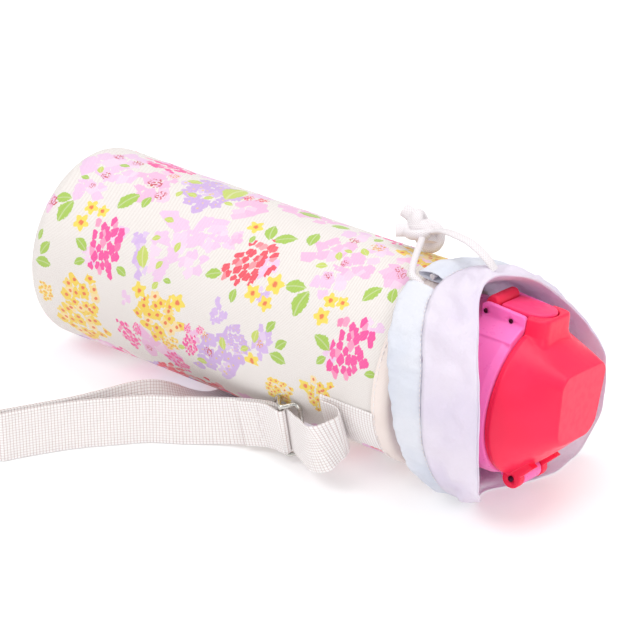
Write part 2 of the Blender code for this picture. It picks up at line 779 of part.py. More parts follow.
def build_cap(looks, frame):
    skirt = 0.0314
    body = lathe("cap_body", [
        (0.2140, skirt),
        (0.2140, CAP_R - 0.0008),
        (0.2148, CAP_R),
        (0.2300, CAP_R),
        (0.2460, CAP_R),
        (0.2496, CAP_R - 0.0012),
        (CAP_RIM_X, CAP_R - 0.0028),
        (CAP_RIM_X, 0.0326),
        (0.2424, 0.0322),
        (0.2424, 0.0112),
        (0.2398, 0.0112),
        (0.2398, 0.0240),
        (0.2300, 0.0240),
        (0.2300, 0.0265),
        (0.2398, 0.0265),
        (0.2398, skirt),
    ], looks["cap_pink"], frame, 40)
    combine(body, hidden("latch_tower", latch_tower()), "UNION")
    slot = slab([
        (0.2200, 0.0368),
        (0.2330, 0.0332),
        (0.2600, 0.0332),
        (0.2600, 0.0500),
        (0.2200, 0.0500),
    ], -LATCH_HALF_WIDTH + 0.0024, LATCH_HALF_WIDTH - 0.0024)
    combine(body, hidden("latch_slot", slot), "DIFFERENCE")
    knuckle = slab(
        [(0.2470, -0.0345), (0.2470, -0.0312), (0.2499, -0.0316)]
        + arc(HINGE_X, HINGE_Z, 0.0043, 105, -120, 10)
        + [(0.2470, -0.0366)], -0.0072, 0.0072)
    combine(body, hidden("hinge_knuckle", knuckle), "UNION")
    spring_slot = rod(0.0033, -0.0034, 0.0034, HINGE_X, HINGE_Z, 16)
    combine(body, hidden("spring_slot", spring_slot), "DIFFERENCE")
    for name, radius, low, high, x, z in (
        ("hinge_bore", 0.00140, -0.009, 0.009, HINGE_X, HINGE_Z),
        ("latch_bore", 0.00115, -0.013, 0.013, LATCH_X, LATCH_Z),
        ("lock_bore", 0.00115, -0.013, 0.013, LOCK_X, LOCK_Z),
    ):
        combine(body, hidden(name, rod(radius, low, high, x, z, 12)), "DIFFERENCE")
    add("hinge_pin", rod(0.00125, -0.0126, 0.0126, HINGE_X, HINGE_Z, 12), looks["pin"], frame)
    add("latch_pin", rod(0.0010, -0.0122, 0.0122, LATCH_X, LATCH_Z, 12), looks["pin"], frame)
    add("lock_pin", rod(0.0010, -0.0122, 0.0122, LOCK_X, LOCK_Z, 12), looks["pin"], frame)
    turns = [math.tau * i / 12 for i in range(37)]
    coil = [(HINGE_X + 0.0022 * math.cos(t), -0.0024 + 0.0048 * i / 36, HINGE_Z + 0.0022 * math.sin(t))
            for i, t in enumerate(turns)]
    spring = cord("lid_spring", coil, 0.0004, looks["steel"], resolution=1)
    spring.parent = frame
    lathe("cap_gasket", [
        (0.2310, 0.0268),
        (0.2310, 0.0273),
        (0.2335, 0.0273),
        (0.2335, 0.0268),
    ], looks["silicone"], frame, 32)
    lathe("spout", [
        (0.2427, 0.0088),
        (0.2427, 0.0165),
        (0.2443, 0.0165),
        (0.2450, 0.0128),
        (0.2600, 0.0118),
        (0.2612, 0.0108),
        (0.2612, 0.0096),
        (0.2600, 0.0088),
    ], looks["spout_plastic"], frame, 28)
    lathe("spout_gasket", [
        (0.2376, 0.0116),
        (0.2376, 0.0140),
        (0.2395, 0.0140),
        (0.2395, 0.0116),
    ], looks["silicone"], frame, 24)


def shield(scale=1.0):
    """The lid's end face: flat on top, narrowing towards the hinge, as (y, z) corners."""
    corners = ((0.0190, 0.0175), (0.0155, 0.0215), (-0.0155, 0.0215), (-0.0190, 0.0175),
               (-0.0165, -0.0070), (-0.0115, -0.0115), (0.0115, -0.0115), (0.0165, -0.0070))
    return [(y * scale, z * scale) for y, z in corners]


def reach(corners, angle):
    """Distance from the axis to a convex outline of (y, z) corners, in one direction."""
    dy = math.cos(angle)
    dz = math.sin(angle)
    best = None
    for (y0, z0), (y1, z1) in zip(corners, corners[1:] + corners[:1]):
        ey = y1 - y0
        ez = z1 - z0
        cross = dy * ez - dz * ey
        if abs(cross) < 1e-12:
            continue
        far = (y0 * ez - z0 * ey) / cross
        share = (y0 * dz - z0 * dy) / cross
        if far > 0 and -1e-9 <= share <= 1 + 1e-9:
            best = far if best is None else max(best, far)
    return best


def lid_rings(inset):
    """Rings of the lid's surface from its rim to its end face, moved inwards by inset."""
    steps = 48
    rows = []
    stops = ((CAP_RIM_X + GAP, 0.0), (0.2535, 0.0), (0.2600, 0.25), (0.2690, 0.62),
             (LID_END_X - 0.0015, 0.92), (LID_END_X, 1.0))
    for x, share in stops:
        ring = []
        for i in range(steps):
            angle = math.tau * i / steps
            end = reach(shield(), angle)
            r = LID_R + (end - LID_R) * share - inset
            if x > LID_END_X - 0.0001:
                r -= 0.0012
            ring.append((x - (inset if share > 0.9 else 0), r * math.cos(angle), r * math.sin(angle)))
        rows.append(ring)
    return rows


def build_lid(looks, frame):
    mesh = bmesh.new()
    sets = []
    for inset in (0.0, LID_WALL):
        rows = [[mesh.verts.new(p) for p in ring] for ring in lid_rings(inset)]
        for one, two in zip(rows, rows[1:]):
            for i in range(len(one)):
                j = (i + 1) % len(one)
                mesh.faces.new((one[i], one[j], two[j], two[i]))
        mesh.faces.new(rows[-1])
        sets.append(rows)
    for i in range(len(sets[0][0])):
        j = (i + 1) % len(sets[0][0])
        mesh.faces.new((sets[0][0][i], sets[0][0][j], sets[1][0][j], sets[1][0][i]))
    lid = add("lid_shell", mesh, looks["lid_pink"], frame)
    tongue = slab([
        (CAP_RIM_X + 0.0008, 0.0300),
        (0.2575, 0.0255),
        (0.2608, 0.0305),
        (0.2604, 0.0400),
        (0.2592, 0.0408),
        (CAP_RIM_X + 0.0008, 0.0382),
    ], -LATCH_HALF_WIDTH + 0.0001, LATCH_HALF_WIDTH - 0.0001)
    combine(lid, hidden("lid_tongue", tongue), "UNION")
    recess = slab(pill(0.0006), -0.0060, 0.0060)
    upright = Matrix.Rotation(math.radians(90), 3, "X")
    bmesh.ops.rotate(recess, cent=(0, 0, 0), matrix=upright, verts=recess.verts)
    bmesh.ops.translate(recess, verts=recess.verts, vec=(0, 0, 0.0345 + 0.0060))
    combine(lid, hidden("pill_recess", recess), "DIFFERENCE")
    notch = rod(0.0060, -0.0076, 0.0076, HINGE_X, HINGE_Z, 20)
    combine(lid, hidden("knuckle_notch", notch), "DIFFERENCE")
    for side, low, high in (("near", -0.0122, -0.0076), ("far", 0.0076, 0.0122)):
        ear = slab(
            arc(HINGE_X, HINGE_Z, HINGE_EAR_R, 200, 380, 10)
            + [(0.2620, -0.0290), (0.2560, -0.0280), (0.2512, -0.0310)], low, high)
        combine(lid, hidden("ear_" + side, ear), "UNION")
    bore = rod(0.00140, -0.013, 0.013, HINGE_X, HINGE_Z, 12)
    combine(lid, hidden("lid_bore", bore), "DIFFERENCE")
    lathe("lid_seal", [
        (0.2616, 0.0),
        (0.2616, 0.0140),
        (0.2632, 0.0150),
        (0.2650, 0.0150),
        (0.2655, 0.0080),
        (LID_END_X - 2 * LID_WALL, 0.0070),
        (LID_END_X - 2 * LID_WALL, 0.0),
    ], looks["silicone"], frame, 28)


def pill(grow):
    """The button's outline from above, as (x, y) points: square at the lock, round at the lid."""
    half = 0.0086 + grow
    middle = 0.2494
    tail = 0.2355 - grow
    return arc(middle, 0, half, -90, 90, 12) + [(tail, half), (tail, -half)]


def build_latch(looks, frame):
    top = slab(pill(0.0), 0.0, 0.0030)
    bmesh.ops.rotate(top, cent=(0, 0, 0), matrix=Matrix.Rotation(math.radians(90), 3, "X"), verts=top.verts)
    bmesh.ops.translate(top, verts=top.verts, vec=(0, 0, 0.0386))
    button = add("latch_button", top, looks["button_pink"], frame)
    hub = slab(
        arc(LATCH_X, LATCH_Z, 0.0024, 180, 360, 8) + [(0.2470, 0.0390), (0.2392, 0.0390)],
        -0.0080, 0.0080)
    combine(button, hidden("button_hub", hub), "UNION")
    bore = rod(0.00115, -0.013, 0.013, LATCH_X, LATCH_Z, 12)
    combine(button, hidden("button_bore", bore), "DIFFERENCE")
    lever = slab([
        (0.2272, 0.0362),
        (0.2282, 0.0418),
        (0.2300, 0.0440),
        (0.2328, 0.0440),
        (0.2345, 0.0418),
        (0.2346, 0.0368),
        (0.2322, 0.0348),
        (0.2290, 0.0350),
    ], -0.0092, 0.0092)
    lock = add("lock_lever", lever, looks["lock_red"], frame)
    lock_bore = rod(0.00115, -0.013, 0.013, LOCK_X, LOCK_Z, 12)
    combine(lock, hidden("lever_bore", lock_bore), "DIFFERENCE")
    turns = [math.tau * i / 10 for i in range(26)]
    coil = [(0.2372 + 0.0013 * math.cos(t), 0.0013 * math.sin(t), 0.0338 + 0.0042 * i / 25)
            for i, t in enumerate(turns)]
    spring = cord("latch_spring", coil, 0.0002, looks["steel"], resolution=1)
    spring.parent = frame


def main():
    clear_scene()
    looks = {
        "floral_fabric": material("floral_fabric", (0.87, 0.80, 0.80), 0.85),
        "foam": material("foam", (0.85, 0.85, 0.86), 0.9),
        "lining": material("lining", (0.75, 0.77, 0.80), 0.35, 0.6),
        "binding": material("binding", (0.90, 0.84, 0.80), 0.85),
        "nylon": material("nylon", (0.86, 0.82, 0.92), 0.55),
        "nylon_hem": material("nylon_hem", (0.80, 0.83, 0.92), 0.5),
        "cord": material("cord", (0.90, 0.86, 0.88), 0.8),
        "webbing": material("webbing", (0.92, 0.87, 0.89), 0.8),
        "steel": material("steel", (0.72, 0.72, 0.72), 0.25, 1.0),
        "steel_flask": material("steel_flask", (0.70, 0.71, 0.72), 0.3, 1.0),
        "base_plastic": material("base_plastic", (0.80, 0.20, 0.45), 0.5),
        "cap_pink": material("cap_pink", (1.0, 0.25, 0.55), 0.45),
        "lid_pink": material("lid_pink", (1.0, 0.04, 0.12), 0.4),
        "button_pink": material("button_pink", (1.0, 0.08, 0.25), 0.4),
        "lock_red": material("lock_red", (0.95, 0.03, 0.09), 0.4),
        "silicone": material("silicone", (0.90, 0.90, 0.90), 0.6),
        "spout_plastic": material("spout_plastic", (0.95, 0.93, 0.93), 0.45),
        "pin": material("pin", (0.12, 0.05, 0.08), 0.4, 0.8),
    }
    build_pouch(looks)
    build_collar(looks)
    build_channel(looks)
    build_drawstring(looks)
    build_near_tab(looks)
    build_strap(looks)
    frame = bpy.data.objects.new("bottle_frame", None)
    bpy.context.scene.collection.objects.link(frame)
    frame.rotation_euler = (-BOTTLE_ROLL, 0, 0)
    build_flask(looks, frame)
    build_cap(looks, frame)
    build_lid(looks, frame)
    build_latch(looks, frame)


main()
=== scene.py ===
"""The looks of an insulated bottle pouch lying on its side, with a drinking bottle in it.

Everything is in metres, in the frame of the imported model: +X along the pouch to the bottle's
lid, +Z up, with the origin at the centre of the pouch's flat base. Angles round the pouch are
measured from its -Y side upwards, so 0 is the near side, 90 the top, 180 the far side and 270 the
bottom.
"""

import math
import random

import bmesh
import bpy
from mathutils import Matrix, Vector, noise


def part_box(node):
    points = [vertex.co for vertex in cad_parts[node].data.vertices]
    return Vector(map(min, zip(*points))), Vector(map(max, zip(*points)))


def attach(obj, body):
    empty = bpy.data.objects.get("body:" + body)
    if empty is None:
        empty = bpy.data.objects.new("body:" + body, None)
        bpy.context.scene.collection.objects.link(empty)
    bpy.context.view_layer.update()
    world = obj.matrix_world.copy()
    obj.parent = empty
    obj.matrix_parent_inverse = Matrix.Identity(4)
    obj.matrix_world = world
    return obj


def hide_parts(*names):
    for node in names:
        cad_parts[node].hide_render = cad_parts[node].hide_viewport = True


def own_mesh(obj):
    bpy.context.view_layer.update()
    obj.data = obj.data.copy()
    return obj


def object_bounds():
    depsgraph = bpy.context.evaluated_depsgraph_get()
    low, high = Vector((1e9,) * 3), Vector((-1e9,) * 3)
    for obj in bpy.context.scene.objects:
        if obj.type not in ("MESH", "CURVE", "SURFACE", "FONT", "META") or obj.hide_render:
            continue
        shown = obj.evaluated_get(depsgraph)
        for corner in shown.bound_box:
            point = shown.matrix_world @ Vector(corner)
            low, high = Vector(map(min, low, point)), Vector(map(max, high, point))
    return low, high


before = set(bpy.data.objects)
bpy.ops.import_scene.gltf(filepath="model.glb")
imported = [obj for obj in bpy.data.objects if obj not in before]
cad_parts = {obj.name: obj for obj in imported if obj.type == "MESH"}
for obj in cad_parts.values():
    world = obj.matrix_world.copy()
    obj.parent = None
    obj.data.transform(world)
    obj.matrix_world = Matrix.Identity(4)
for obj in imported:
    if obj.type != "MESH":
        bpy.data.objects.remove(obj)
cad_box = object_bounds()

FLOOR = 0.0482  # height of the pouch's axis above the surface below
CLEAR = 0.0002  # room left between a soft piece and that surface
BOTTLE_ROLL = math.radians(12)  # the cap's latch leans this far to the far side
ROLLED = Matrix.Rotation(-BOTTLE_ROLL, 4, "X")
UP = Vector((0, 0, 1))
MM = 0.001


# Shapes


def smooth_path(points, per_span, closed=False):
    """Points on a Catmull-Rom curve through the given ones, which may have any number of values."""
    count = len(points)
    spans = count if closed else count - 1
    path = []
    for i in range(spans):
        near = [i - 1, i, i + 1, i + 2]
        if closed:
            near = [k % count for k in near]
        else:
            near = [min(max(k, 0), count - 1) for k in near]
        a, b, c, d = (points[k] for k in near)
        for step in range(per_span):
            t = step / per_span
            path.append(tuple(
                0.5 * (2 * q + (r - p) * t + (2 * p - 5 * q + 4 * r - s) * t * t
                       + (3 * q - p - 3 * r + s) * t ** 3)
                for p, q, r, s in zip(a, b, c, d)
            ))
    if not closed:
        path.append(tuple(points[-1]))
    return path


def resample(points, spacing, dims=3):
    """The same path with its points a fixed distance apart, measured over the first dims values."""
    far = [0.0]
    for one, two in zip(points, points[1:]):
        far.append(far[-1] + math.dist(one[:dims], two[:dims]))
    count = max(2, round(far[-1] / spacing))
    made = []
    k = 0
    for i in range(count + 1):
        want = far[-1] * i / count
        while k < len(far) - 2 and far[k + 1] < want:
            k += 1
        share = (want - far[k]) / max(far[k + 1] - far[k], 1e-9)
        made.append(tuple(p + (q - p) * share for p, q in zip(points[k], points[k + 1])))
    return made, far[-1]


def arc(cx, cz, radius, start, end, steps=10):
    turns = [math.radians(start + (end - start) * i / steps) for i in range(steps + 1)]
    return [(cx + radius * math.cos(turn), cz + radius * math.sin(turn)) for turn in turns]


def rounded(outline, radius, steps=4, closed=True):
    """A 2D outline with its corners rounded, by at most radius."""
    count = len(outline)
    made = []
    for i, corner in enumerate(outline):
        here = Vector(corner)
        if not closed and i in (0, count - 1):
            made.append(tuple(here))
            continue
        before = Vector(outline[i - 1])
        after = Vector(outline[(i + 1) % count])
        reach = min(radius, (before - here).length * 0.45, (after - here).length * 0.45)
        start = here + (before - here).normalized() * reach
        end = here + (after - here).normalized() * reach
        for k in range(steps + 1):
            t = k / steps
            made.append(tuple(start * (1 - t) ** 2 + here * 2 * t * (1 - t) + end * t * t))
    return made


def round_pouch(x, r, turn):
    """The point at x and r from the pouch's axis, turn radians up from the near side."""
    return (x, -r * math.cos(turn), r * math.sin(turn))


def link(name, data):
    piece = bpy.data.objects.new(name, data)
    bpy.context.scene.collection.objects.link(piece)
    return piece


def make(name, mesh, look, body, roll=False, outward=True):
    """A new piece from a bmesh, riding on a body."""
    if outward:
        bmesh.ops.recalc_face_normals(mesh, faces=mesh.faces)
    if roll:
        bmesh.ops.transform(mesh, matrix=ROLLED, verts=mesh.verts)
    data = bpy.data.meshes.new(name)
    mesh.to_mesh(data)
    mesh.free()
    piece = link(name, data)
    data.shade_smooth()
    data.set_sharp_from_angle(angle=math.radians(48))
    data.materials.append(look.material)
    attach(piece, body)
    return piece


def bridge(mesh, one, two):
    """Faces between two closed rings of corners."""
    for k in range(len(one)):
        n = (k + 1) % len(one)
        mesh.faces.new((one[k], one[n], two[n], two[k]))


def tube(mesh, rings):
    """Adds a closed solid through rings of points, with flat ends."""
    rows = [[mesh.verts.new(place) for place in ring] for ring in rings]
    for one, two in zip(rows, rows[1:]):
        bridge(mesh, one, two)
    mesh.faces.new(rows[0])
    mesh.faces.new(rows[-1])


def lofted(rings):
    """A bmesh with such a solid alone in it."""
    mesh = bmesh.new()
    tube(mesh, rings)
    bmesh.ops.recalc_face_normals(mesh, faces=mesh.faces)
    return mesh


def turned(outline, steps=96):
    """A closed outline of (x, r) points, turned a full circle round the X axis."""
    mesh = bmesh.new()
    rows = []
    for i in range(steps):
        turn = math.tau * i / steps
        across, up = math.sin(turn), math.cos(turn)
        rows.append([mesh.verts.new((x, r * across, r * up)) if r > 0 else None
                     for x, r in outline])
    poles = {k: mesh.verts.new((x, 0, 0)) for k, (x, r) in enumerate(outline) if r <= 0}
    for one, two in zip(rows, rows[1:] + rows[:1]):
        for k in range(len(outline)):
            n = (k + 1) % len(outline)
            if k in poles and n in poles:
                continue
            corners = [row[m] or poles[m] for row, m in ((one, k), (one, n), (two, n), (two, k))]
            mesh.faces.new(list(dict.fromkeys(corners)))
    return mesh


def lathe(name, outline, look, body, replaces=(), roll=True, corner=0.0, steps=96):
    if corner:
        on_axis = outline[0][1] == 0
        outline = rounded(outline, corner, 3, closed=not on_axis)
    piece = make(name, turned(outline, steps), look, body, roll)
    if replaces:
        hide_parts(*replaces)
    return piece


def block(outline, low, high, bevel=0.0, segments=3):
    """A flat outline of (x, z) points made solid from y = low to y = high, its edges rounded."""
    mesh = bmesh.new()
    face = mesh.faces.new([mesh.verts.new((x, low, z)) for x, z in outline])
    grown = bmesh.ops.extrude_face_region(mesh, geom=[face])
    moved = [part for part in grown["geom"] if isinstance(part, bmesh.types.BMVert)]
    bmesh.ops.translate(mesh, verts=moved, vec=(0, high - low, 0))
    bmesh.ops.recalc_face_normals(mesh, faces=mesh.faces)
    if bevel:
        edges = [e for e in mesh.edges if len(e.link_faces) == 2 and e.calc_face_angle(0) > 0.6]
        bmesh.ops.bevel(mesh, geom=edges, offset=bevel, segments=segments, profile=0.5,
                        affect="EDGES", clamp_overlap=True)
    return mesh


def joined(*meshes):
    """Several bmeshes as one."""
    whole = bmesh.new()
    for mesh in meshes:
        data = bpy.data.meshes.new("part")
        mesh.to_mesh(data)
        mesh.free()
        whole.from_mesh(data)
        bpy.data.meshes.remove(data)
    return whole


def rod(radius, low, high, x, z, sides=32, bevel=0.0):
    return block(arc(x, z, radius, 0, 360 - 360 / sides, sides - 1), low, high, bevel, 2)


def sweep(path, section, ups=None, closed=False, uv=None):
    """A tube along path. section(i, share) gives its (side, up) outline at each point of the path.

    uv is the name of a map of millimetres along and around the tube.
    """
    mesh = bmesh.new()
    layer = mesh.loops.layers.uv.new(uv) if uv else None
    places = [Vector(p[:3]) for p in path]
    count = len(places)
    rings = []
    along = [0.0]
    for one, two in zip(places, places[1:]):
        along.append(along[-1] + (two - one).length)
    side = None
    for i, place in enumerate(places):
        if closed:
            ahead = (places[(i + 1) % count] - places[i - 1]).normalized()
        else:
            ahead = (places[min(i + 1, count - 1)] - places[max(i - 1, 0)]).normalized()
        if ups:
            side = ahead.cross(ups[i]).normalized()
        elif side is None:
            side = ahead.orthogonal().normalized()
        side = (side - ahead * side.dot(ahead)).normalized()
        up = side.cross(ahead)
        outline = section(i, i / max(count - 1, 1))
        rings.append([mesh.verts.new(place + side * a + up * b) for a, b in outline])
    around_mm = [0.0]
    outline = section(0, 0)
    for one, two in zip(outline, outline[1:] + outline[:1]):
        around_mm.append(around_mm[-1] + math.dist(one, two) / MM)
    pairs = [(i, (i + 1) % count) for i in range(count if closed else count - 1)]
    sides = len(outline)
    for i, j in pairs:
        for k in range(sides):
            n = (k + 1) % sides
            face = mesh.faces.new((rings[i][k], rings[i][n], rings[j][n], rings[j][k]))
            if layer:
                far = along[i] + (along[1] - along[0]) if j == 0 else along[j]
                marks = ((along[i], around_mm[k]), (along[i], around_mm[k + 1]),
                         (far, around_mm[k + 1]), (far, around_mm[k]))
                for loop, (u, v) in zip(face.loops, marks):
                    loop[layer].uv = (u / MM, v)
    if not closed:
        mesh.faces.new(list(reversed(rings[0])))
        mesh.faces.new(rings[-1])
    return mesh


def oval(wide, thick, sides=16):
    """A section for sweep, the same all along."""
    turns = [math.tau * k / sides for k in range(sides)]
    points = [(wide * math.cos(turn), thick * math.sin(turn)) for turn in turns]
    return lambda i, share: points


def circle(radius, sides=12):
    return oval(radius, radius, sides)


def ripple(x, y, z, scale, seed=0.0):
    """Smooth noise between about -1 and 1, with bumps about scale across."""
    return noise.noise(Vector((x / scale + seed, y / scale - seed, z / scale + 2 * seed)))


def apply_modifiers(piece):
    graph = bpy.context.evaluated_depsgraph_get()
    data = bpy.data.meshes.new_from_object(piece.evaluated_get(graph))
    old = piece.data
    piece.modifiers.clear()
    piece.data = data
    bpy.data.meshes.remove(old)


# Materials


def rgb(red, green, blue):
    """Screen values from 0 to 255 as linear light."""
    made = []
    for value in (red, green, blue):
        value /= 255
        made.append(value / 12.92 if value <= 0.04045 else ((value + 0.055) / 1.055) ** 2.4)
    return tuple(made)


class Look:
    """A material that is built node by node, for one named material slot."""

    def __init__(self, name, slot, colour, roughness, metallic=0.0):
        self.slot = slot
        self.material = bpy.data.materials.new(name)
        self.material.use_nodes = True
        self.tree = self.material.node_tree
        self.shader = self.tree.nodes["Principled BSDF"]
        self.set("Base Color", (*colour, 1.0))
        self.set("Roughness", roughness)
        self.set("Metallic", metallic)

    def set(self, socket, value):
        self.join(value, self.shader.inputs[socket])

    def join(self, value, socket):
        if isinstance(value, bpy.types.NodeSocket):
            self.tree.links.new(value, socket)
        else:
            socket.default_value = value

    def node(self, kind, inputs=(), **settings):
        made = self.tree.nodes.new(kind)
        for key, value in settings.items():
            setattr(made, key, value)
        for key, value in dict(inputs).items():
            self.join(value, made.inputs[key])
        return made

    def maths(self, operation, *values):
        inputs = dict(enumerate(values))
        return self.node("ShaderNodeMath", inputs, operation=operation).outputs[0]

    def times(self, a, b):
        return self.maths("MULTIPLY", a, b)

    def plus(self, a, b):
        return self.maths("ADD", a, b)

    def ramp(self, value, start, end, low=0.0, high=1.0):
        """Goes smoothly from low to high as value goes from start to end."""
        inputs = {0: value, 1: start, 2: end, 3: low, 4: high}
        return self.node("ShaderNodeMapRange", inputs, interpolation_type="SMOOTHSTEP").outputs[0]

    def mix(self, share, one, two):
        one = (*one, 1.0) if isinstance(one, tuple) and len(one) == 3 else one
        two = (*two, 1.0) if isinstance(two, tuple) and len(two) == 3 else two
        return self.node("ShaderNodeMix", {0: share, 6: one, 7: two}, data_type="RGBA").outputs[2]

    def noise(self, vector, scale, detail=2.0):
        inputs = {"Vector": vector, "Scale": scale, "Detail": detail}
        return self.node("ShaderNodeTexNoise", inputs).outputs["Fac"]

    def object_place(self):
        return self.node("ShaderNodeTexCoord").outputs["Object"]

    def uv(self, name):
        """(the whole vector, u, v) of a named map."""
        vector = self.node("ShaderNodeUVMap", uv_map=name).outputs[0]
        split = self.node("ShaderNodeSeparateXYZ", {0: vector})
        return vector, split.outputs[0], split.outputs[1]

    def vectors(self, operation, *values, output=0):
        inputs = dict(enumerate(values))
        return self.node("ShaderNodeVectorMath", inputs, operation=operation).outputs[output]

    def length(self, vector):
        return self.vectors("LENGTH", vector, output="Value")

    def parts(self, colour):
        """The red, green and blue of a colour."""
        return self.node("ShaderNodeSeparateColor", {0: colour}).outputs

    def bump(self, height, distance, strength=1.0):
        inputs = {"Height": height, "Distance": distance, "Strength": strength}
        result = self.node("ShaderNodeBump", inputs).outputs[0]
        self.set("Normal", result)
        return result

    def wave(self, value, pitch):
        """From 0 to 1 and back over each pitch of value."""
        turned_by = self.maths("SINE", self.times(value, math.tau / pitch))
        return self.plus(self.times(turned_by, 0.5), 0.5)


def soft_cloth(look, sheen=0.25):
    look.set("Sheen Weight", sheen)
    look.set("Sheen Roughness", 0.5)
    look.set("Specular IOR Level", 0.2)


def twill_height(look, u, v):
    """Diagonal ribs of a twill, from its own two directions in millimetres."""
    diagonal = look.wave(look.plus(u, v), 0.88)
    thread = look.wave(look.maths("SUBTRACT", u, v), 0.66)
    return look.plus(look.times(diagonal, 0.75), look.times(thread, 0.25))


CLUSTER, STAR, LEAF, SPECKS = 0.0, 0.25, 0.5, 1.0  # the forms that a flower can have


def uneven(look, place, scale, depth):
    """Noise about zero that makes an inked edge ragged."""
    return look.times(look.plus(look.noise(place, scale), -0.5), depth)


def floret_ink(look, offset, cell_place, form):
    """(petals, heart, random tone) of a cluster, whose florets are cells.

    Each cell is kept whole or left out by how far its middle is from the cluster's.
    """
    florets, lobes, petal_r = look.parts(form.outputs["Color"])
    cells = look.node("ShaderNodeTexVoronoi",
                      {"Vector": cell_place, "Scale": 1.0, "Randomness": 0.9},
                      voronoi_dimensions="2D")
    position = cells.outputs["Position"]
    away = look.node("ShaderNodeSeparateXYZ", {0: look.vectors("SUBTRACT", cell_place, position)})
    tones = look.parts(cells.outputs["Color"])
    turn = look.maths("ARCTAN2", away.outputs[1], away.outputs[0])
    turn = look.plus(turn, look.times(tones[0], math.tau))
    wavy = look.maths("COSINE", look.times(turn, 5.0))
    petal = look.times(petal_r, look.plus(1.0, look.times(lobes, wavy)))
    petal = look.times(petal, look.ramp(tones[1], 0.0, 1.0, 0.8, 1.15))
    ragged = look.plus(cells.outputs["Distance"], uneven(look, cell_place, 2.6, 0.30))
    inside = look.ramp(look.maths("SUBTRACT", petal, ragged), -0.02, 0.03)
    middle_far = look.maths("DIVIDE", look.length(look.vectors("SUBTRACT", position, offset)),
                            florets)
    kept = look.maths("LESS_THAN", middle_far, look.ramp(tones[2], 0.0, 1.0, 0.66, 1.0))
    heart = look.ramp(look.maths("SUBTRACT", form.outputs["Alpha"], ragged), -0.03, 0.04)
    return look.times(inside, kept), look.times(heart, kept), tones[0]


def leaf_ink(look, lu, lv, cell_place):
    """(leaf, rib) of a leaf that is pointed at both ends."""
    bend = look.plus(lv, look.times(look.times(lu, lu), 0.12))
    across = look.maths("ABSOLUTE", bend)
    width = look.times(look.maths("SUBTRACT", 1.0, look.times(lu, lu)), 0.56)
    ragged = look.plus(width, uneven(look, cell_place, 2.6, 0.35))
    leaf = look.ramp(look.maths("SUBTRACT", ragged, across), -0.03, 0.05)
    return leaf, look.ramp(across, 0.02, 0.09, 0.25, 0.0)


def star_ink(look, local, lu, lv, cell_place):
    """(petals, heart) of one flower with five petals."""
    far = look.plus(look.length(local), uneven(look, cell_place, 2.4, 0.35))
    five = look.maths("COSINE", look.times(look.maths("ARCTAN2", lv, lu), 5.0))
    petals = look.plus(0.70, look.times(five, 0.16))
    mask = look.ramp(look.maths("SUBTRACT", petals, far), -0.04, 0.05)
    return mask, look.ramp(far, 0.16, 0.30, 1.0, 0.0)


def printed_layer(look, layer):
    """(how much ink, its colour) of one layer of the print, read from the cloth's own maps."""
    local, lu, lv = look.uv(layer + "_place")
    colour, centre, form = (look.node("ShaderNodeAttribute", attribute_name=layer + end)
                            for end in ("_colour", "_centre", "_form"))
    florets = look.parts(form.outputs["Color"])[0]
    seed = centre.outputs["Alpha"]
    shifted = look.node("ShaderNodeVectorMath", {0: local, 3: florets}, operation="SCALE")
    offset = look.node("ShaderNodeCombineXYZ", {0: seed, 1: look.times(seed, 1.7)}).outputs[0]
    cell_place = look.vectors("ADD", shifted.outputs[0], offset)

    petals, heart, random_tone = floret_ink(look, offset, cell_place, form)
    leaf, rib = leaf_ink(look, lu, lv, cell_place)
    star, star_heart = star_ink(look, local, lu, lv, cell_place)
    dabs = look.ramp(look.noise(cell_place, 1.6, 1.0), 0.50, 0.56)
    dabs = look.times(dabs, look.ramp(look.length(local), 0.75, 1.0, 1.0, 0.0))

    is_form = {code: look.maths("COMPARE", colour.outputs["Alpha"], code, 0.1)
               for code in (CLUSTER, STAR, LEAF, SPECKS)}
    mask = look.plus(look.times(leaf, is_form[LEAF]), look.times(dabs, is_form[SPECKS]))
    mask = look.plus(mask, look.times(petals, is_form[CLUSTER]))
    mask = look.plus(mask, look.times(star, is_form[STAR]))
    tone = look.times(look.ramp(random_tone, 0.55, 0.95, 0.0, 0.34), is_form[CLUSTER])
    tone = look.plus(tone, look.times(rib, is_form[LEAF]))
    heart = look.plus(look.times(heart, is_form[CLUSTER]), look.times(star_heart, is_form[STAR]))
    ink = look.mix(tone, colour.outputs["Color"], rgb(250, 236, 240))
    ink = look.mix(heart, ink, centre.outputs["Color"])
    return look.maths("MAXIMUM", mask, heart), ink


def floral_look():
    """Cream twill with a pattern printed on it in two layers, pale flowers under bright ones."""
    look = Look("floral_twill", "floral_fabric", rgb(244, 238, 234), 0.85)
    soft_cloth(look)
    _, u, v = look.uv("cloth")
    twill = twill_height(look, u, v)
    # Darker where the twill is low: painted shade in the weave's grooves.
    colour = look.mix(look.times(look.ramp(twill, 0.15, 0.55, 1.0, 0.0), 0.8), rgb(240, 236, 232),
                      rgb(200, 184, 180))
    for layer, strength in (("back", 0.90), ("front", 0.97)):
        mask, ink = printed_layer(look, layer)
        printed = look.mix(look.ramp(twill, 0.60, 0.98, 0.0, 0.30), ink, rgb(240, 228, 230))
        colour = look.mix(look.times(mask, strength), colour, printed)
    look.set("Base Color", colour)
    look.bump(twill, 0.00018, 0.7)
    return look


def plain_twill_look(name, slot, light, dark, pitch=0.9):
    look = Look(name, slot, light, 0.85)
    soft_cloth(look)
    _, u, v = look.uv("cloth")
    ribs = look.wave(look.plus(u, v), pitch)
    stain = look.noise(look.object_place(), 60.0)
    # Darker between the ribs: painted shade in the weave's grooves.
    colour = look.mix(look.ramp(ribs, 0.1, 0.6, 0.45, 0.0), light, dark)
    look.set("Base Color", look.mix(look.ramp(stain, 0.4, 0.7, 0.0, 0.25), colour, dark))
    look.bump(ribs, 0.00012, 0.5)
    return look


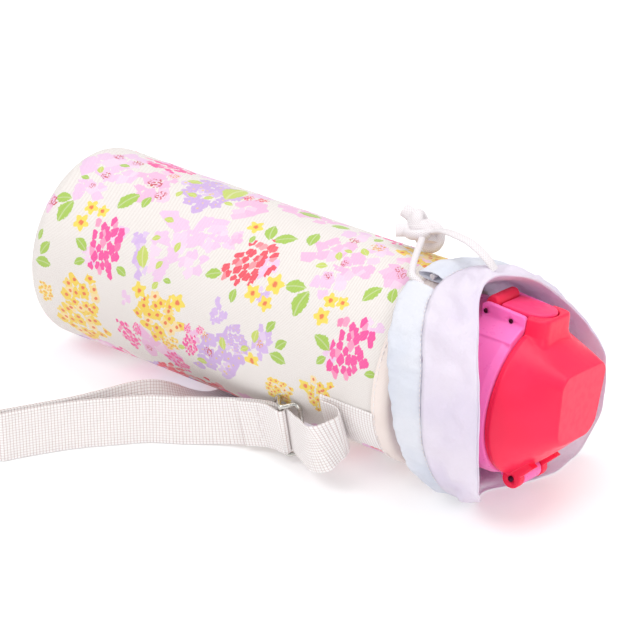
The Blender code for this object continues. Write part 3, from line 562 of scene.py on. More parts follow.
def webbing_look():
    """Ribbed webbing with a grid of small squares, from its own map in millimetres."""
    look = Look("ribbed_webbing", "webbing", rgb(250, 245, 245), 0.8)
    soft_cloth(look)
    _, u, v = look.uv("weave")
    along = look.maths("ABSOLUTE", look.maths("SINE", look.times(u, math.pi / 1.5)))
    over = look.maths("ABSOLUTE", look.maths("SINE", look.times(v, math.pi / 1.4)))
    square = look.times(look.ramp(along, 0.0, 0.62), look.ramp(over, -0.12, 0.62))
    fibre = look.noise(look.object_place(), 5200.0, 1.0)
    height = look.plus(square, look.times(fibre, 0.25))
    # Darker in the grooves round each raised square: painted shade.
    groove_shade = look.ramp(square, 0.02, 0.70, 0.72, 0.0)
    look.set("Base Color", look.mix(groove_shade, rgb(250, 246, 245), rgb(206, 180, 176)))
    look.bump(height, 0.00030, 0.8)
    return look


def nylon_look(name, slot, colour, shade, see_through=0.28):
    """Thin nylon that lets some light through, with a fine crinkle."""
    look = Look(name, slot, colour, 0.52)
    look.set("Sheen Weight", 0.15)
    look.set("Specular IOR Level", 0.35)
    place = look.object_place()
    crinkle = look.noise(look.vectors("MULTIPLY", place, (1.0, 0.6, 0.6)), 120.0, 4.0)
    fine = look.noise(place, 900.0, 2.0)
    height = look.plus(crinkle, look.times(fine, 0.12))
    tint = look.noise(place, 34.0, 2.0)
    mixed = look.mix(look.ramp(tint, 0.35, 0.7, 0.0, 0.6), colour, shade)
    look.set("Base Color", mixed)
    normal = look.bump(height, 0.0024, 0.7)
    through = look.node("ShaderNodeBsdfTranslucent", {"Color": mixed, "Normal": normal})
    blend = look.node("ShaderNodeMixShader", {0: see_through, 1: look.shader.outputs[0],
                                              2: through.outputs[0]})
    look.join(blend.outputs[0], look.tree.nodes["Material Output"].inputs["Surface"])
    return look


def cord_look():
    look = Look("soft_braid", "cord", rgb(250, 240, 242), 0.85)
    soft_cloth(look, 0.4)
    _, u, v = look.uv("weave")
    one = look.wave(look.plus(u, v), 1.1)
    two = look.wave(look.maths("SUBTRACT", u, v), 1.1)
    braid = look.maths("MAXIMUM", one, two)
    # Darker between the braid's strands: painted shade.
    look.set("Base Color", look.mix(look.ramp(braid, 0.2, 0.75, 0.55, 0.0), rgb(238, 232, 234),
                                    rgb(196, 182, 188)))
    look.bump(braid, 0.00022, 0.6)
    return look


def plastic_look(name, slot, colour, deep, roughness=0.36):
    """Satin moulded plastic, a little deeper in colour in some places than others."""
    look = Look(name, slot, colour, roughness)
    place = look.object_place()
    cloud = look.noise(place, 45.0, 2.0)
    look.set("Base Color", look.mix(look.ramp(cloud, 0.35, 0.65, 0.0, 0.35), colour, deep))
    grain = look.noise(place, 2600.0, 2.0)
    patches = look.noise(place, 300.0)
    look.set("Roughness", look.ramp(patches, 0.3, 0.7, roughness - 0.05, roughness + 0.07))
    look.set("Specular IOR Level", 0.30)
    look.set("Subsurface Weight", 0.12)
    look.set("Subsurface Radius", (0.004, 0.0012, 0.0015))
    look.set("Subsurface Scale", 0.6)
    look.bump(grain, 0.00002, 0.12)
    return look


def metal_look(name, slot, colour, roughness=0.22, brushed=False):
    look = Look(name, slot, colour, roughness, 1.0)
    place = look.object_place()
    if brushed:
        place = look.vectors("MULTIPLY", place, (9.0, 1.0, 1.0))
    marks = look.noise(place, 420.0, 3.0)
    look.set("Roughness", look.ramp(marks, 0.3, 0.7, roughness - 0.08, roughness + 0.12))
    look.bump(marks, 0.00003, 0.25)
    return look


def film_look():
    """Silvered film on cloth, with creases."""
    look = Look("silver_film", "lining", rgb(218, 220, 224), 0.32, 0.75)
    place = look.object_place()
    creases = look.node("ShaderNodeTexVoronoi", {"Vector": place, "Scale": 130.0},
                        feature="DISTANCE_TO_EDGE").outputs["Distance"]
    crumple = look.times(look.noise(place, 260.0, 3.0), 0.5)
    height = look.plus(look.ramp(creases, 0.0, 0.25), crumple)
    # Darker along the creases: painted shade.
    look.set("Base Color", look.mix(look.ramp(creases, 0.0, 0.1, 0.35, 0.0), rgb(222, 224, 228),
                                    rgb(172, 176, 184)))
    look.bump(height, 0.0005, 0.6)
    return look


def foam_look():
    look = Look("padding", "foam", rgb(240, 240, 242), 0.92)
    cells = look.node("ShaderNodeTexVoronoi", {"Vector": look.object_place(), "Scale": 1400.0})
    pores = look.ramp(cells.outputs["Distance"], 0.2, 0.6)
    # Darker in the pores: painted shade.
    look.set("Base Color", look.mix(look.times(pores, 0.3), rgb(244, 244, 246), rgb(208, 208, 214)))
    look.bump(pores, 0.0003, 0.5)
    return look


def thread_look():
    look = Look("sewing_thread", "binding", rgb(252, 247, 246), 0.7)
    strand = look.noise(look.object_place(), 4000.0, 1.0)
    strand = look.times(strand, 0.4)
    look.set("Base Color", look.mix(strand, rgb(252, 248, 248), rgb(222, 208, 208)))
    return look


def rubber_look():
    look = Look("soft_rubber", "silicone", rgb(236, 236, 238), 0.6)
    cloud = look.noise(look.object_place(), 200.0, 2.0)
    look.set("Base Color", look.mix(look.times(cloud, 0.3), rgb(240, 240, 242), rgb(214, 214, 220)))
    look.bump(cloud, 0.00005, 0.3)
    return look


LOOKS = {
    "floral": floral_look(),
    "binding": plain_twill_look("cream_tape", "binding", rgb(244, 232, 226), rgb(216, 196, 190)),
    "webbing": webbing_look(),
    "skirt": nylon_look("lilac_nylon", "nylon", rgb(251, 246, 254), rgb(242, 235, 250), 0.40),
    "hem": nylon_look("white_nylon", "nylon_hem", rgb(241, 242, 249), rgb(220, 226, 241), 0.25),
    "cord": cord_look(),
    "thread": thread_look(),
    "lid": plastic_look("coral_plastic", "lid_pink", rgb(255, 40, 84), rgb(250, 34, 76)),
    "button": plastic_look("rose_plastic", "button_pink", rgb(252, 66, 122), rgb(246, 54, 108)),
    "lock": plastic_look("red_plastic", "lock_red", rgb(248, 48, 86), rgb(232, 36, 72)),
    "cap": plastic_look("pink_plastic", "cap_pink", rgb(255, 122, 196), rgb(252, 112, 188), 0.32),
    "base": plastic_look("base_cap_plastic", "base_plastic", rgb(240, 96, 160), rgb(228, 84, 150),
                         0.45),
    "spout": plastic_look("white_plastic", "spout_plastic", rgb(246, 243, 244), rgb(236, 232, 234)),
    "rubber": rubber_look(),
    "steel": metal_look("plated_wire", "steel", rgb(205, 203, 198)),
    "flask": metal_look("drawn_steel", "steel_flask", rgb(206, 207, 210), 0.28, True),
    "pin": metal_look("dark_pin", "pin", rgb(84, 40, 58), 0.35),
    "film": film_look(),
    "foam": foam_look(),
}


# Camera, floor and light

FOCUS = Vector((0.13865, 0.0, 0.0005))
AZIMUTH = math.radians(35.37)
ELEVATION = math.radians(30.98)
DISTANCE = 1.37566
LENS_MM = 168.75
SENSOR_MM = 36
FLOOR_HALF = 6.0
FLOOR_COLOUR = (0.74, 0.74, 0.745, 1)
FLOOR_GLOW = 0.35
WORLD_STRENGTH = 0.62
LIT_POINT = Vector((0.13, 0, 0))
LIGHTS = (  # name, place, size in metres, watts
    ("key_light", (-0.25, -0.95, 1.25), 0.9, 8.0),
    ("top_light", (0.25, 0.35, 1.5), 1.3, 11.0),
    ("side_light", (1.3, -0.55, 0.7), 0.8, 3.0),
)


def build_camera():
    level = math.cos(ELEVATION)
    back = Vector((math.sin(AZIMUTH) * level, -math.cos(AZIMUTH) * level, math.sin(ELEVATION)))
    data = bpy.data.cameras.new("camera")
    data.lens = LENS_MM
    data.sensor_width = SENSOR_MM
    data.clip_start = 0.05
    camera = link("camera", data)
    camera.location = FOCUS + back * DISTANCE
    camera.rotation_euler = back.to_track_quat("Z", "Y").to_euler()
    bpy.context.scene.camera = camera


def build_floor():
    mesh = bmesh.new()
    bmesh.ops.create_grid(mesh, x_segments=1, y_segments=1, size=FLOOR_HALF)
    data = bpy.data.meshes.new("studio_floor")
    mesh.to_mesh(data)
    mesh.free()
    floor = link("studio_floor", data)
    floor.location = (0, 0, cad_box[0][2] - 0.0001)
    white = bpy.data.materials.new("studio_white")
    white.use_nodes = True
    sockets = white.node_tree.nodes["Principled BSDF"].inputs
    for name, value in (("Base Color", FLOOR_COLOUR), ("Roughness", 0.9),
                        ("Specular IOR Level", 0.0), ("Emission Color", (1, 1, 1, 1)),
                        ("Emission Strength", FLOOR_GLOW)):
        sockets[name].default_value = value
    data.materials.append(white)


def build_light():
    world = bpy.data.worlds.new("studio")
    world.use_nodes = True
    sockets = world.node_tree.nodes["Background"].inputs
    sockets["Color"].default_value = (1.0, 1.0, 1.0, 1)
    sockets["Strength"].default_value = WORLD_STRENGTH
    bpy.context.scene.world = world
    for name, place, size, power in LIGHTS:
        lamp = bpy.data.lights.new(name, "AREA")
        lamp.shape = "DISK"
        lamp.size = size
        lamp.energy = power
        light = link(name, lamp)
        light.location = place
        aim = Vector(place) - LIT_POINT
        light.rotation_euler = aim.to_track_quat("Z", "Y").to_euler()
    view = bpy.context.scene.view_settings
    view.view_transform = "Standard"
    view.look = "None"


# Pouch

POUCH_R = 0.046
BASE_ROUND = 0.010
BASE_SEAM_R = 0.0365
MOUTH_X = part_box("mouth_binding")[1].x
BINDING_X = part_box("mouth_binding")[0].x

# What is printed on the cloth. Each kind of flower has a form, a colour, a heart's colour, florets
# across half of it, how lobed and how wide each is, the heart's radius, and the whole's width as a
# share of its length
MAGENTA = rgb(240, 62, 152)
CORAL = rgb(232, 62, 84)
ORANGE = rgb(230, 112, 52)
PRINTS = {
    "magenta": (CLUSTER, MAGENTA, MAGENTA, 4.0, 0.10, 0.60, 0.0, 0.66),
    "coral": (CLUSTER, CORAL, CORAL, 4.0, 0.10, 0.60, 0.0, 0.66),
    "yellow": (CLUSTER, rgb(240, 206, 62), ORANGE, 3.2, 0.18, 0.68, 0.20, 0.9),
    "star": (STAR, rgb(240, 214, 70), ORANGE, 1.6, 0.0, 0.0, 0.0, 1.0),
    "lilac": (CLUSTER, rgb(198, 162, 220), rgb(228, 196, 110), 3.6, 0.20, 0.70, 0.10, 0.9),
    "violet": (CLUSTER, rgb(206, 172, 226), rgb(206, 172, 226), 2.0, 0.20, 0.70, 0.0, 0.8),
    "pink": (CLUSTER, rgb(234, 178, 216), rgb(234, 178, 216), 1.9, 0.16, 0.74, 0.0, 0.9),
    "pale": (CLUSTER, rgb(232, 192, 226), rgb(232, 192, 226), 1.7, 0.16, 0.72, 0.0, 0.9),
    "leaf": (LEAF, rgb(158, 194, 62), ORANGE, 1.6, 0.0, 0.0, 0.0, 1.0),
    "lime": (LEAF, rgb(192, 208, 84), ORANGE, 1.6, 0.0, 0.0, 0.0, 1.0),
    "speck": (SPECKS, rgb(198, 62, 76), CORAL, 1.9, 0.0, 0.0, 0.0, 1.0),
    "seed": (SPECKS, rgb(222, 150, 60), CORAL, 1.9, 0.0, 0.0, 0.0, 1.0),
}
# Each kind is followed by its flowers, as (mm along, angle, half length in mm, turn). These are set
# out one by one on the near side and the top, and the rest of the cloth is filled by scattered()
FRONT_FLOWERS = (
    ("magenta", (43, 32, 17.5, 100), (182, 27, 18.5, 94)), ("coral", (118, 54, 17, 62)),
    ("yellow", (34, -1, 16, 5), (30, -21, 17, 0), (11, -6, 6, 60), (80, 4, 16, 35)),
    ("star", (89, 18, 5.5, 0), (67, 17, 5, 40)), ("yellow", (85, -9, 6, 0)),
    ("star", (135, 47, 6, 15), (126, 38, 5.2, 0), (134, 35, 4.6, 60), (109, 77, 5, 0),
     (27, 53, 4.6, 0), (33.5, 53, 4, 30), (25.5, 42.5, 5.2, 70), (164.5, 49, 4.6, 30),
     (170.5, 50, 4, 0), (163.5, 39, 5.2, 50)), ("yellow", (170, -9, 11.5, 80)),
    ("star", (162, -3, 4.6, 0), (132.5, 0, 5.2, 40)), ("yellow", (146, -14, 9.5, 30)),
    ("leaf", (10, 53, 4.8, 20), (14, 46, 6.4, 75), (10, 21.5, 4.2, 60), (10.5, 13, 4.8, 0),
     (5.5, 28, 3, 80), (30, 31, 4.4, -30), (31, 21, 3.4, 30), (55, 24, 3.6, -20),
     (42, 65, 6.4, 60), (51, 68, 3.8, 90), (103, 41, 4.4, 25), (116.5, 33, 3.4, 90),
     (117.5, 77, 5.2, 110), (126, 76, 5.8, 30), (137.5, 83, 5.2, 100), (145, 50, 5.6, 15),
     (150.5, 42, 6.8, 80), (140, 24, 3.6, 60), (147, 16, 4, 45), (146.5, 8, 4.8, -10),
     (168, 26, 5.4, -25), (169, 16, 3.2, 45), (195, 18, 3.2, 10), (181, 61, 5.4, 60),
     (190.5, 64, 4.2, 110), (121, 110, 6, 10), (140, 106, 4.6, 30), (160.5, 106, 3.2, 80)),
    ("lime", (82, 102, 9.5, 95), (75, 23, 2.6, 60)), ("leaf", (81, 28, 2.4, 0)),
    ("lime", (68, 62, 2.8, 0), (151, 67, 3, 20), (155, 77, 3, 120), (163.5, 87, 3.4, 140),
     (157, 83, 2.2, 0)), ("leaf", (25, 90, 2.8, 20), (14, 70, 2.4, 0)),
    ("lime", (17.5, 79, 2.8, 120), (67, 49, 2.4, 30), (79.5, 48, 2.8, 90), (64, 36, 5.6, 110),
     (133, 15.5, 3.4, 80), (116, 4, 3.4, 100), (128, 6, 2.6, 30), (103, -14, 3.2, 0),
     (92, -9, 2.4, 20), (62, 82, 2.6, 90), (68, 85, 3, 0), (76, 87, 2.6, 40), (61, 99, 4, 20),
     (74, 35, 2.6, 60), (87, 88, 2.6, 0)), ("leaf", (112, 68, 2.4, 90)),
    ("magenta", (60, -16, 9.5, 120), (66, -8.5, 4.6, 90), (87, -24, 8.5, 140), (97, -5, 7, 82),
     (96, 5.5, 3.2, 60), (103.5, 7, 3.4, 0)), ("coral", (90, 102, 4.6, 100), (96, 106, 4.6, 100)),
    ("speck", (22.5, 76, 2.8, 0), (17, 97, 3, 0), (28, 98, 3.2, 0), (47, 84, 4.4, 40),
     (55, 76, 3.4, 0), (20.5, 66, 1.8, 0), (154, 94, 3, 0)), ("seed", (166, 96, 4.2, 0)),
    ("speck", (160, 73.5, 2.2, 0), (157, 62, 2.2, 0), (184.5, 83, 2.6, 0), (187.5, 79, 2.6, 0),
     (108, -5, 3, 0)), ("seed", (106, 5, 2.4, 0), (136, 12, 2.2, 0)),
    ("speck", (5.5, 49, 3.4, 90), (71, -21, 2.4, 0)), ("seed", (50, 97, 3, 0)),
    ("coral", (194, -40, 7, 20)),
)
BACK_FLOWERS = (
    ("pale", (14, 82, 13, 20), (20, 64, 8.5, 10), (28, 80, 9.5, 60), (24, 101, 12, 0)),
    ("pink", (45, 90, 11, 60), (51, 77, 10.5, 20)),
    ("pale", (75, 57, 13.5, 10), (88, 60, 12, 60), (99, 61, 7, 20), (74, 37, 11, 80),
     (90, 42, 8.5, 90)), ("violet", (64, 34, 8, 110), (59, 44, 6, 100)),
    ("pink", (105, 65, 5.5, 45)), ("lilac", (73, 93, 20, 170)), ("pink", (97, 90, 11.5, 60)),
    ("lilac", (115, -6, 20, 60), (123, 7, 9, 0)),
    ("violet", (111, 21, 6.5, 90), (138, 13, 8, 80)),
    ("pink", (77, -17, 11.5, 0), (149, 78, 11, 60), (164, 75, 10, 30)),
    ("pale", (158, 59, 9, 10), (150, 103, 9, 0), (168, 96, 7, 0), (127, 55, 6, 90)),
    ("violet", (131, 38, 5, 60)), ("pale", (189, 42, 6, 60), (36, 27, 6, 60), (48, 44, 5, 20)),
    ("pink", (185, 77, 10, 80), (186, 96, 8, 0), (5, 46, 6, 90)),
    ("pale", (173, 20, 5, 60), (60, 10, 4, 0)), ("pink", (100, 0, 6, 60)),
)
CLOTH_STEP = 1.5 * MM
CLOTH_THICK = 0.0007
TRIES = 2400


def scattered(flowers, kinds, sizes, seed):
    """Every flower of the cloth as (kind, mm along, angle, half length, turn).

    These are the ones given, and more scattered over the rest of the pouch, none nearer to another
    than their sizes allow.
    """
    pick = random.Random(seed)
    placed = [(kind, *row) for kind, *rows in flowers for row in rows]
    for big in sizes:
        for _ in range(TRIES):
            kind, size = kinds[pick.randrange(len(kinds))]
            if size < big or (big == sizes[0]) != (size >= big):
                continue
            x = pick.uniform(-8, 204)
            angle = pick.uniform(-42, 318)
            if -31 < angle < 108 or (angle < -20 and size > 9):
                continue
            size *= pick.uniform(0.85, 1.1)
            if all(math.hypot(x - ox, math.radians((angle - oa + 180) % 360 - 180) * POUCH_R / MM)
                   > 0.78 * (size + other) for _, ox, oa, other, _ in placed):
                placed.append((kind, x, angle, size, pick.uniform(0, 180)))
    return placed


WHOLE_ROUND = math.tau * POUCH_R / MM
BIN = 8  # mm


def flower_bins(flowers):
    """The flowers that reach each small square of the cloth."""
    rows = int(WHOLE_ROUND // BIN) + 1
    bins = {}
    for k, (kind, x, angle, size, turn) in enumerate(flowers):
        y = math.radians(angle) * POUCH_R / MM
        reach_bins = int(size * 1.3 / BIN) + 1
        for i in range(-reach_bins, reach_bins + 1):
            for j in range(-reach_bins, reach_bins + 1):
                spot = (int(x // BIN) + i, (int((y % WHOLE_ROUND) // BIN) + j) % rows)
                bins.setdefault(spot, []).append((kind, x, y, size, math.radians(turn), k))
    return bins


PRINT_LAYERS = {
    "front": flower_bins(scattered(
        FRONT_FLOWERS,
        (("magenta", 16), ("coral", 16), ("yellow", 16), ("star", 4.8), ("leaf", 5.2),
         ("lime", 3.2), ("star", 4.2), ("leaf", 4), ("speck", 3.2), ("magenta", 8), ("leaf", 6)),
        (10, 5, 2.5), 7)),
    "back": flower_bins(scattered(
        BACK_FLOWERS,
        (("pale", 12), ("pink", 11), ("lilac", 18), ("violet", 7), ("pale", 9), ("pink", 6)),
        (10, 5), 11)),
}


def within(flower, mx, my):
    """A place on the cloth in a flower's own measures, in which it reaches 1 from its middle."""
    kind, x, y, size, turn, _ = flower
    dx = mx - x
    dy = (my - y + WHOLE_ROUND / 2) % WHOLE_ROUND - WHOLE_ROUND / 2
    return ((dx * math.cos(turn) + dy * math.sin(turn)) / size,
            (dy * math.cos(turn) - dx * math.sin(turn)) / size / PRINTS[kind][-1])


def flower_at(bins, mx, my):
    """The flower that a place on the cloth belongs to, or None."""
    best = None
    for flower in bins.get((int(mx // BIN), int((my % WHOLE_ROUND) // BIN)), ()):
        far = math.hypot(*within(flower, mx, my))
        if far < 1.2 + 1.5 / flower[3] and (best is None or far < best[0]):
            best = (far, flower)
    return best and best[1]


def print_on(mesh, places):
    """Writes each face's flowers into the cloth's maps.

    places gives each face's corners as (mm along, mm round) on the cloth laid flat.
    """
    flat = mesh.loops.layers.uv.new("cloth")
    for layer, bins in PRINT_LAYERS.items():
        spot = mesh.loops.layers.uv.new(layer + "_place")
        colour, centre, form = (mesh.loops.layers.float_color.new(layer + end)
                                for end in ("_colour", "_centre", "_form"))
        for face, corners in zip(mesh.faces, places):
            mx = sum(c[0] for c in corners) / len(corners)
            my = sum(c[1] for c in corners) / len(corners)
            flower = flower_at(bins, mx, my)
            for loop, corner in zip(face.loops, corners):
                loop[flat].uv = corner
                if flower is None:
                    loop[spot].uv = (9.0, 9.0)
                    loop[colour] = loop[centre] = (1, 1, 1, 0)
                    loop[form] = (1, 0, 0, 0)
                    continue
                code, ink, heart, *shape, _ = PRINTS[flower[0]]
                loop[spot].uv = within(flower, *corner)
                loop[colour] = (*ink, code)
                loop[centre] = (*heart, 0.37 * flower[-1] % 7)
                loop[form] = shape


def pouch_profile():
    """(x, r) from the base's seam to the mouth, close together round the base's edge."""
    seam = math.degrees(math.acos((BASE_SEAM_R - POUCH_R + BASE_ROUND) / BASE_ROUND))
    points = arc(BASE_ROUND, POUCH_R - BASE_ROUND, BASE_ROUND, 90 + seam, 90, 9)
    points += [(x / 1000, POUCH_R) for x in (30, 60, 90, 120, 150, 180)]
    points.append((MOUTH_X - 0.0012, POUCH_R))
    return resample(points, CLOTH_STEP, 2)[0]


def pouch_softness(x, angle):
    """How far the padded side stands out or sinks in at a point."""
    turn = math.radians(angle)
    _, y, z = round_pouch(x, POUCH_R, turn)
    fade = min(1.0, max(0.0, x / 0.012)) * min(1.0, max(0.0, (BINDING_X + 0.002 - x) / 0.014))
    swell = 0.42 * ripple(x, y, z, 0.034, 3.1) + 0.16 * ripple(x, y, z, 0.013, 8.4)
    pull = -0.00035 * math.exp(-((x - BINDING_X) / 0.004) ** 2)
    under = 0.35 if math.sin(turn) < -0.85 else 1.0
    return swell * MM * fade * under + pull


def thicken(piece, thickness, offset=0):
    """Gives a sheet its thickness, evenly on both sides, or all inside where offset is -1."""
    cloth = piece.modifiers.new("cloth", "SOLIDIFY")
    cloth.thickness = thickness
    cloth.offset = offset
    apply_modifiers(piece)


def build_shell():
    profile = pouch_profile()
    steps = round(math.tau * POUCH_R / CLOTH_STEP)
    along = [0.0]
    for one, two in zip(profile, profile[1:]):
        along.append(along[-1] + math.dist(one, two) / MM)
    straight = next(a for a, (x, r) in zip(along, profile) if r > POUCH_R - 1e-5)
    along = [BASE_ROUND / MM - straight + a for a in along]
    mesh = bmesh.new()
    angles = [360 * j / steps for j in range(steps)]
    rows = [[mesh.verts.new(round_pouch(x, r + pouch_softness(x, a), math.radians(a)))
             for a in angles] for x, r in profile]
    round_mm = [math.tau * POUCH_R * j / steps / MM for j in range(steps + 1)]
    places = []
    for i in range(len(profile) - 1):
        bridge(mesh, rows[i], rows[i + 1])
        one, two = along[i], along[i + 1]
        places += [((one, low), (one, high), (two, high), (two, low))
                   for low, high in zip(round_mm, round_mm[1:])]
    print_on(mesh, places)
    shell = make("pouch_shell", mesh, LOOKS["floral"], "pouch")
    thicken(shell, CLOTH_THICK, -1)
    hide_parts("outer_shell")


def build_base():
    """The round end panel, with the welt cord in its seam."""
    mesh = bmesh.new()
    rings = 22
    steps = 120
    rows = [[mesh.verts.new((-0.0002, 0, 0))]]
    for i in range(1, rings + 1):
        r = (BASE_SEAM_R - 0.0006) * i / rings
        edge = 0.0012 * max(0.0, (i / rings - 0.8) / 0.2) ** 2
        row = []
        for j in range(steps):
            _, y, z = round_pouch(0, r, math.tau * j / steps)
            soft = 0.00025 * ripple(0, y, z, 0.02, 5.0) - 0.0002
            row.append(mesh.verts.new((soft + edge, y, z)))
        rows.append(row)
    middle = rows[0][0]
    for j in range(steps):
        mesh.faces.new((middle, rows[1][(j + 1) % steps], rows[1][j]))
    for one, two in zip(rows[1:], rows[2:]):
        bridge(mesh, one, two)
    print_on(mesh, [[(100 + v.co.y / MM, 200 + v.co.z / MM) for v in face.verts]
                    for face in mesh.faces])
    panel = make("base_end_panel", mesh, LOOKS["floral"], "pouch")
    thicken(panel, CLOTH_THICK, -1)
    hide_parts("base_panel")
    ring = [round_pouch(0.0009, BASE_SEAM_R, math.tau * j / 160) for j in range(160)]
    welt = sweep(ring, circle(0.0009, 10), closed=True, uv="cloth")
    make("base_welt", welt, LOOKS["binding"], "pouch")


STITCH_RINGS = ((-0.5, 0.3, -0.6), (-0.32, 1.0, 0.5), (0.0, 1.1, 0.9), (0.32, 1.0, 0.5),
                (0.5, 0.3, -0.6))  # share of the length, width and height in radii


def stitches(name, places, length, radius=0.00022):
    """A row of short threads: places are (point, way it runs, way it faces)."""
    mesh = bmesh.new()
    turns = [math.tau * k / 6 for k in range(6)]
    for point, ahead, out in places:
        ahead = Vector(ahead).normalized()
        out = Vector(out).normalized()
        side = ahead.cross(out)
        rings = []
        for share, wide, high in STITCH_RINGS:
            centre = Vector(point) + ahead * length * share + out * (radius * high)
            rings.append([centre + (side * math.cos(a) + out * math.sin(a)) * radius * wide
                          for a in turns])
        tube(mesh, rings)
    return make(name, mesh, LOOKS["thread"], "pouch")


def build_binding():
    """The tape folded over the pouch's mouth, gathered a little along its stitches."""
    inside_r = 0.0398
    outside_r = POUCH_R + 0.0006
    outline = [
        (BINDING_X, outside_r - 0.0004), (BINDING_X + 0.0002, outside_r + 0.0002),
        (BINDING_X + 0.0016, outside_r), (BINDING_X + 0.0045, outside_r + 0.0003),
        (MOUTH_X - 0.0012, outside_r + 0.0001), (MOUTH_X, outside_r - 0.0012),
        (MOUTH_X + 0.0001, (inside_r + outside_r) / 2), (MOUTH_X, inside_r + 0.0012),
        (MOUTH_X - 0.0012, inside_r), (BINDING_X, inside_r), (BINDING_X, inside_r + 0.0004),
        (MOUTH_X - 0.0014, inside_r + 0.0008), (MOUTH_X - 0.0014, outside_r - 0.0010),
    ]
    mesh = bmesh.new()
    layer = mesh.loops.layers.uv.new("cloth")
    steps = 300
    far = [0.0]
    for one, two in zip(outline, outline[1:] + outline[:1]):
        far.append(far[-1] + math.dist(one, two) / MM)
    rows = []
    for j in range(steps):
        turn = math.tau * j / steps
        row = []
        for x, r in outline:
            _, y, z = round_pouch(x, r, turn)
            crumple = 0.00028 * ripple(x * 0.4, y, z, 0.0055, 1.7)
            crumple += 0.00016 * ripple(x, y, z, 0.003, 4.4)
            shift = 0.0004 * ripple(0.3, y, z, 0.012, 9.0) if x < BINDING_X + 0.001 else 0.0
            if r < POUCH_R - 0.002:
                crumple *= 0.3
            r += crumple
            if turn > math.pi:
                r = min(r, (FLOOR - CLEAR) / max(-math.sin(turn), 1e-6))
            row.append(mesh.verts.new(round_pouch(x + shift, r, turn)))
        rows.append(row)
    for j in range(steps):
        n = (j + 1) % steps
        low, high = (math.tau * POUCH_R * s / steps / MM for s in (j, j + 1))
        for k in range(len(outline)):
            m = (k + 1) % len(outline)
            face = mesh.faces.new((rows[j][k], rows[j][m], rows[n][m], rows[n][k]))
            marks = ((far[k], low), (far[k + 1], low), (far[k + 1], high), (far[k], high))
            for loop, mark in zip(face.loops, marks):
                loop[layer].uv = mark
    binding = make("mouth_tape", mesh, LOOKS["binding"], "pouch")
    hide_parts("mouth_binding")
    places = []
    count = 96
    for j in range(count):
        turn = math.tau * (j + 0.5) / count
        out = Vector(round_pouch(0, 1, turn))
        point = Vector((BINDING_X + 0.0016, 0, 0)) + out * (outside_r + 0.0001)
        places.append((point, (0, math.sin(turn), math.cos(turn)), out))
    stitches("mouth_stitches", places, 0.0023)


# Collar: each row is (angle, rim x, rim r, seam x, hem's free edge x), going once round

COLLAR = (
    (-71, 0.238, 0.0535, 0.2345, 0.2230),
    (-48, 0.2490, 0.0510, 0.2335, 0.2205),
    (-24, 0.2568, 0.0540, 0.2320, 0.2175),
    (-5, 0.2585, 0.0540, 0.2300, 0.2145),
    (13, 0.2575, 0.0540, 0.2280, 0.2110),
    (30, 0.2535, 0.0540, 0.2245, 0.2055),
    (47, 0.2470, 0.0545, 0.2180, 0.2005),
    (62, 0.2400, 0.0550, 0.2130, 0.1975),
    (76, 0.2330, 0.0550, 0.2110, 0.1970),
    (90, 0.2310, 0.0550, 0.2140, 0.2000),
    (104, 0.2380, 0.0530, 0.2200, 0.2060),
    (118, 0.2430, 0.0500, 0.2260, 0.2120),
    (136, 0.2475, 0.0475, 0.2310, 0.2170),
    (156, 0.2560, 0.0462, 0.2350, 0.2200),
    (174, 0.2625, 0.0460, 0.2370, 0.2220),
    (192, 0.2635, 0.0475, 0.2380, 0.2235),
    (211, 0.2630, 0.0525, 0.2390, 0.2245),
    (231, 0.2570, 0.0600, 0.2400, 0.2250),
    (248, 0.2560, 0.0540, 0.2400, 0.2250),
    (266, 0.2490, 0.0535, 0.2385, 0.2240),
)
COLLAR_START_X = MOUTH_X + 0.0004
COLLAR_START_R = 0.0400
COLLAR_MID_X = 0.222
COLLAR_MID_R = 0.0455
CHANNEL_R = 0.0505
CHANNEL_HALF = 0.0023
NOTCH_ANGLE = 76
NOTCH_HALF = 4
CHANNEL_FROM = NOTCH_ANGLE + NOTCH_HALF
CHANNEL_TURN = 360 - 2 * NOTCH_HALF
SKIRT_THICK = 0.00025
FLOOR_SQUEEZE = 0.62  # the layers that the pouch lies on are pressed together
# Steps of the collar's path, of which five go to each of its eleven points
RIM_STEP = 32
FOLD_STEP = 40
SEAM_STEP = 44
LAST_STEP = 50
# Outline of the hem: share of the way from its free edge to its seam, and how far out
HEM_SHAPE = (
    (0.0, 0.0), (0.03, 0.5), (0.10, 0.72), (0.25, 0.95), (0.5, 1.0), (0.75, 0.92), (0.88, 0.55),
    (0.95, 0.40), (1.0, 0.10), (1.0, -0.10), (0.95, -0.40), (0.75, -0.9), (0.5, -1.0),
    (0.25, -0.9), (0.08, -0.6), (0.02, -0.3),
)
HEM_WALL = 0.0004


def around(x, r, angle, depth=0.0):
    """A point round the pouch, kept above the surface below by depth."""
    turn = math.radians(angle)
    if math.sin(turn) < -0.3:
        r = min(r, (FLOOR - CLEAR) / -math.sin(turn) - depth * FLOOR_SQUEEZE)
    return round_pouch(x, r, turn)


def collar_rows(steps):
    """The collar's rows at even angles, smoothly between the ones above."""
    path = [(angle - 360, *rest) for angle, *rest in COLLAR[-2:]]
    path += COLLAR
    path += [(angle + 360, *rest) for angle, *rest in COLLAR[:3]]
    path = smooth_path(path, 12)
    made = []
    k = 0
    for i in range(steps):
        angle = COLLAR[0][0] + 360 * i / steps
        while path[k + 1][0] < angle:
            k += 1
        share = (angle - path[k][0]) / (path[k + 1][0] - path[k][0])
        made.append(tuple(p + (q - p) * share for p, q in zip(path[k], path[k + 1])))
    return made


def squash_with_lid(piece):
    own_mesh(piece)


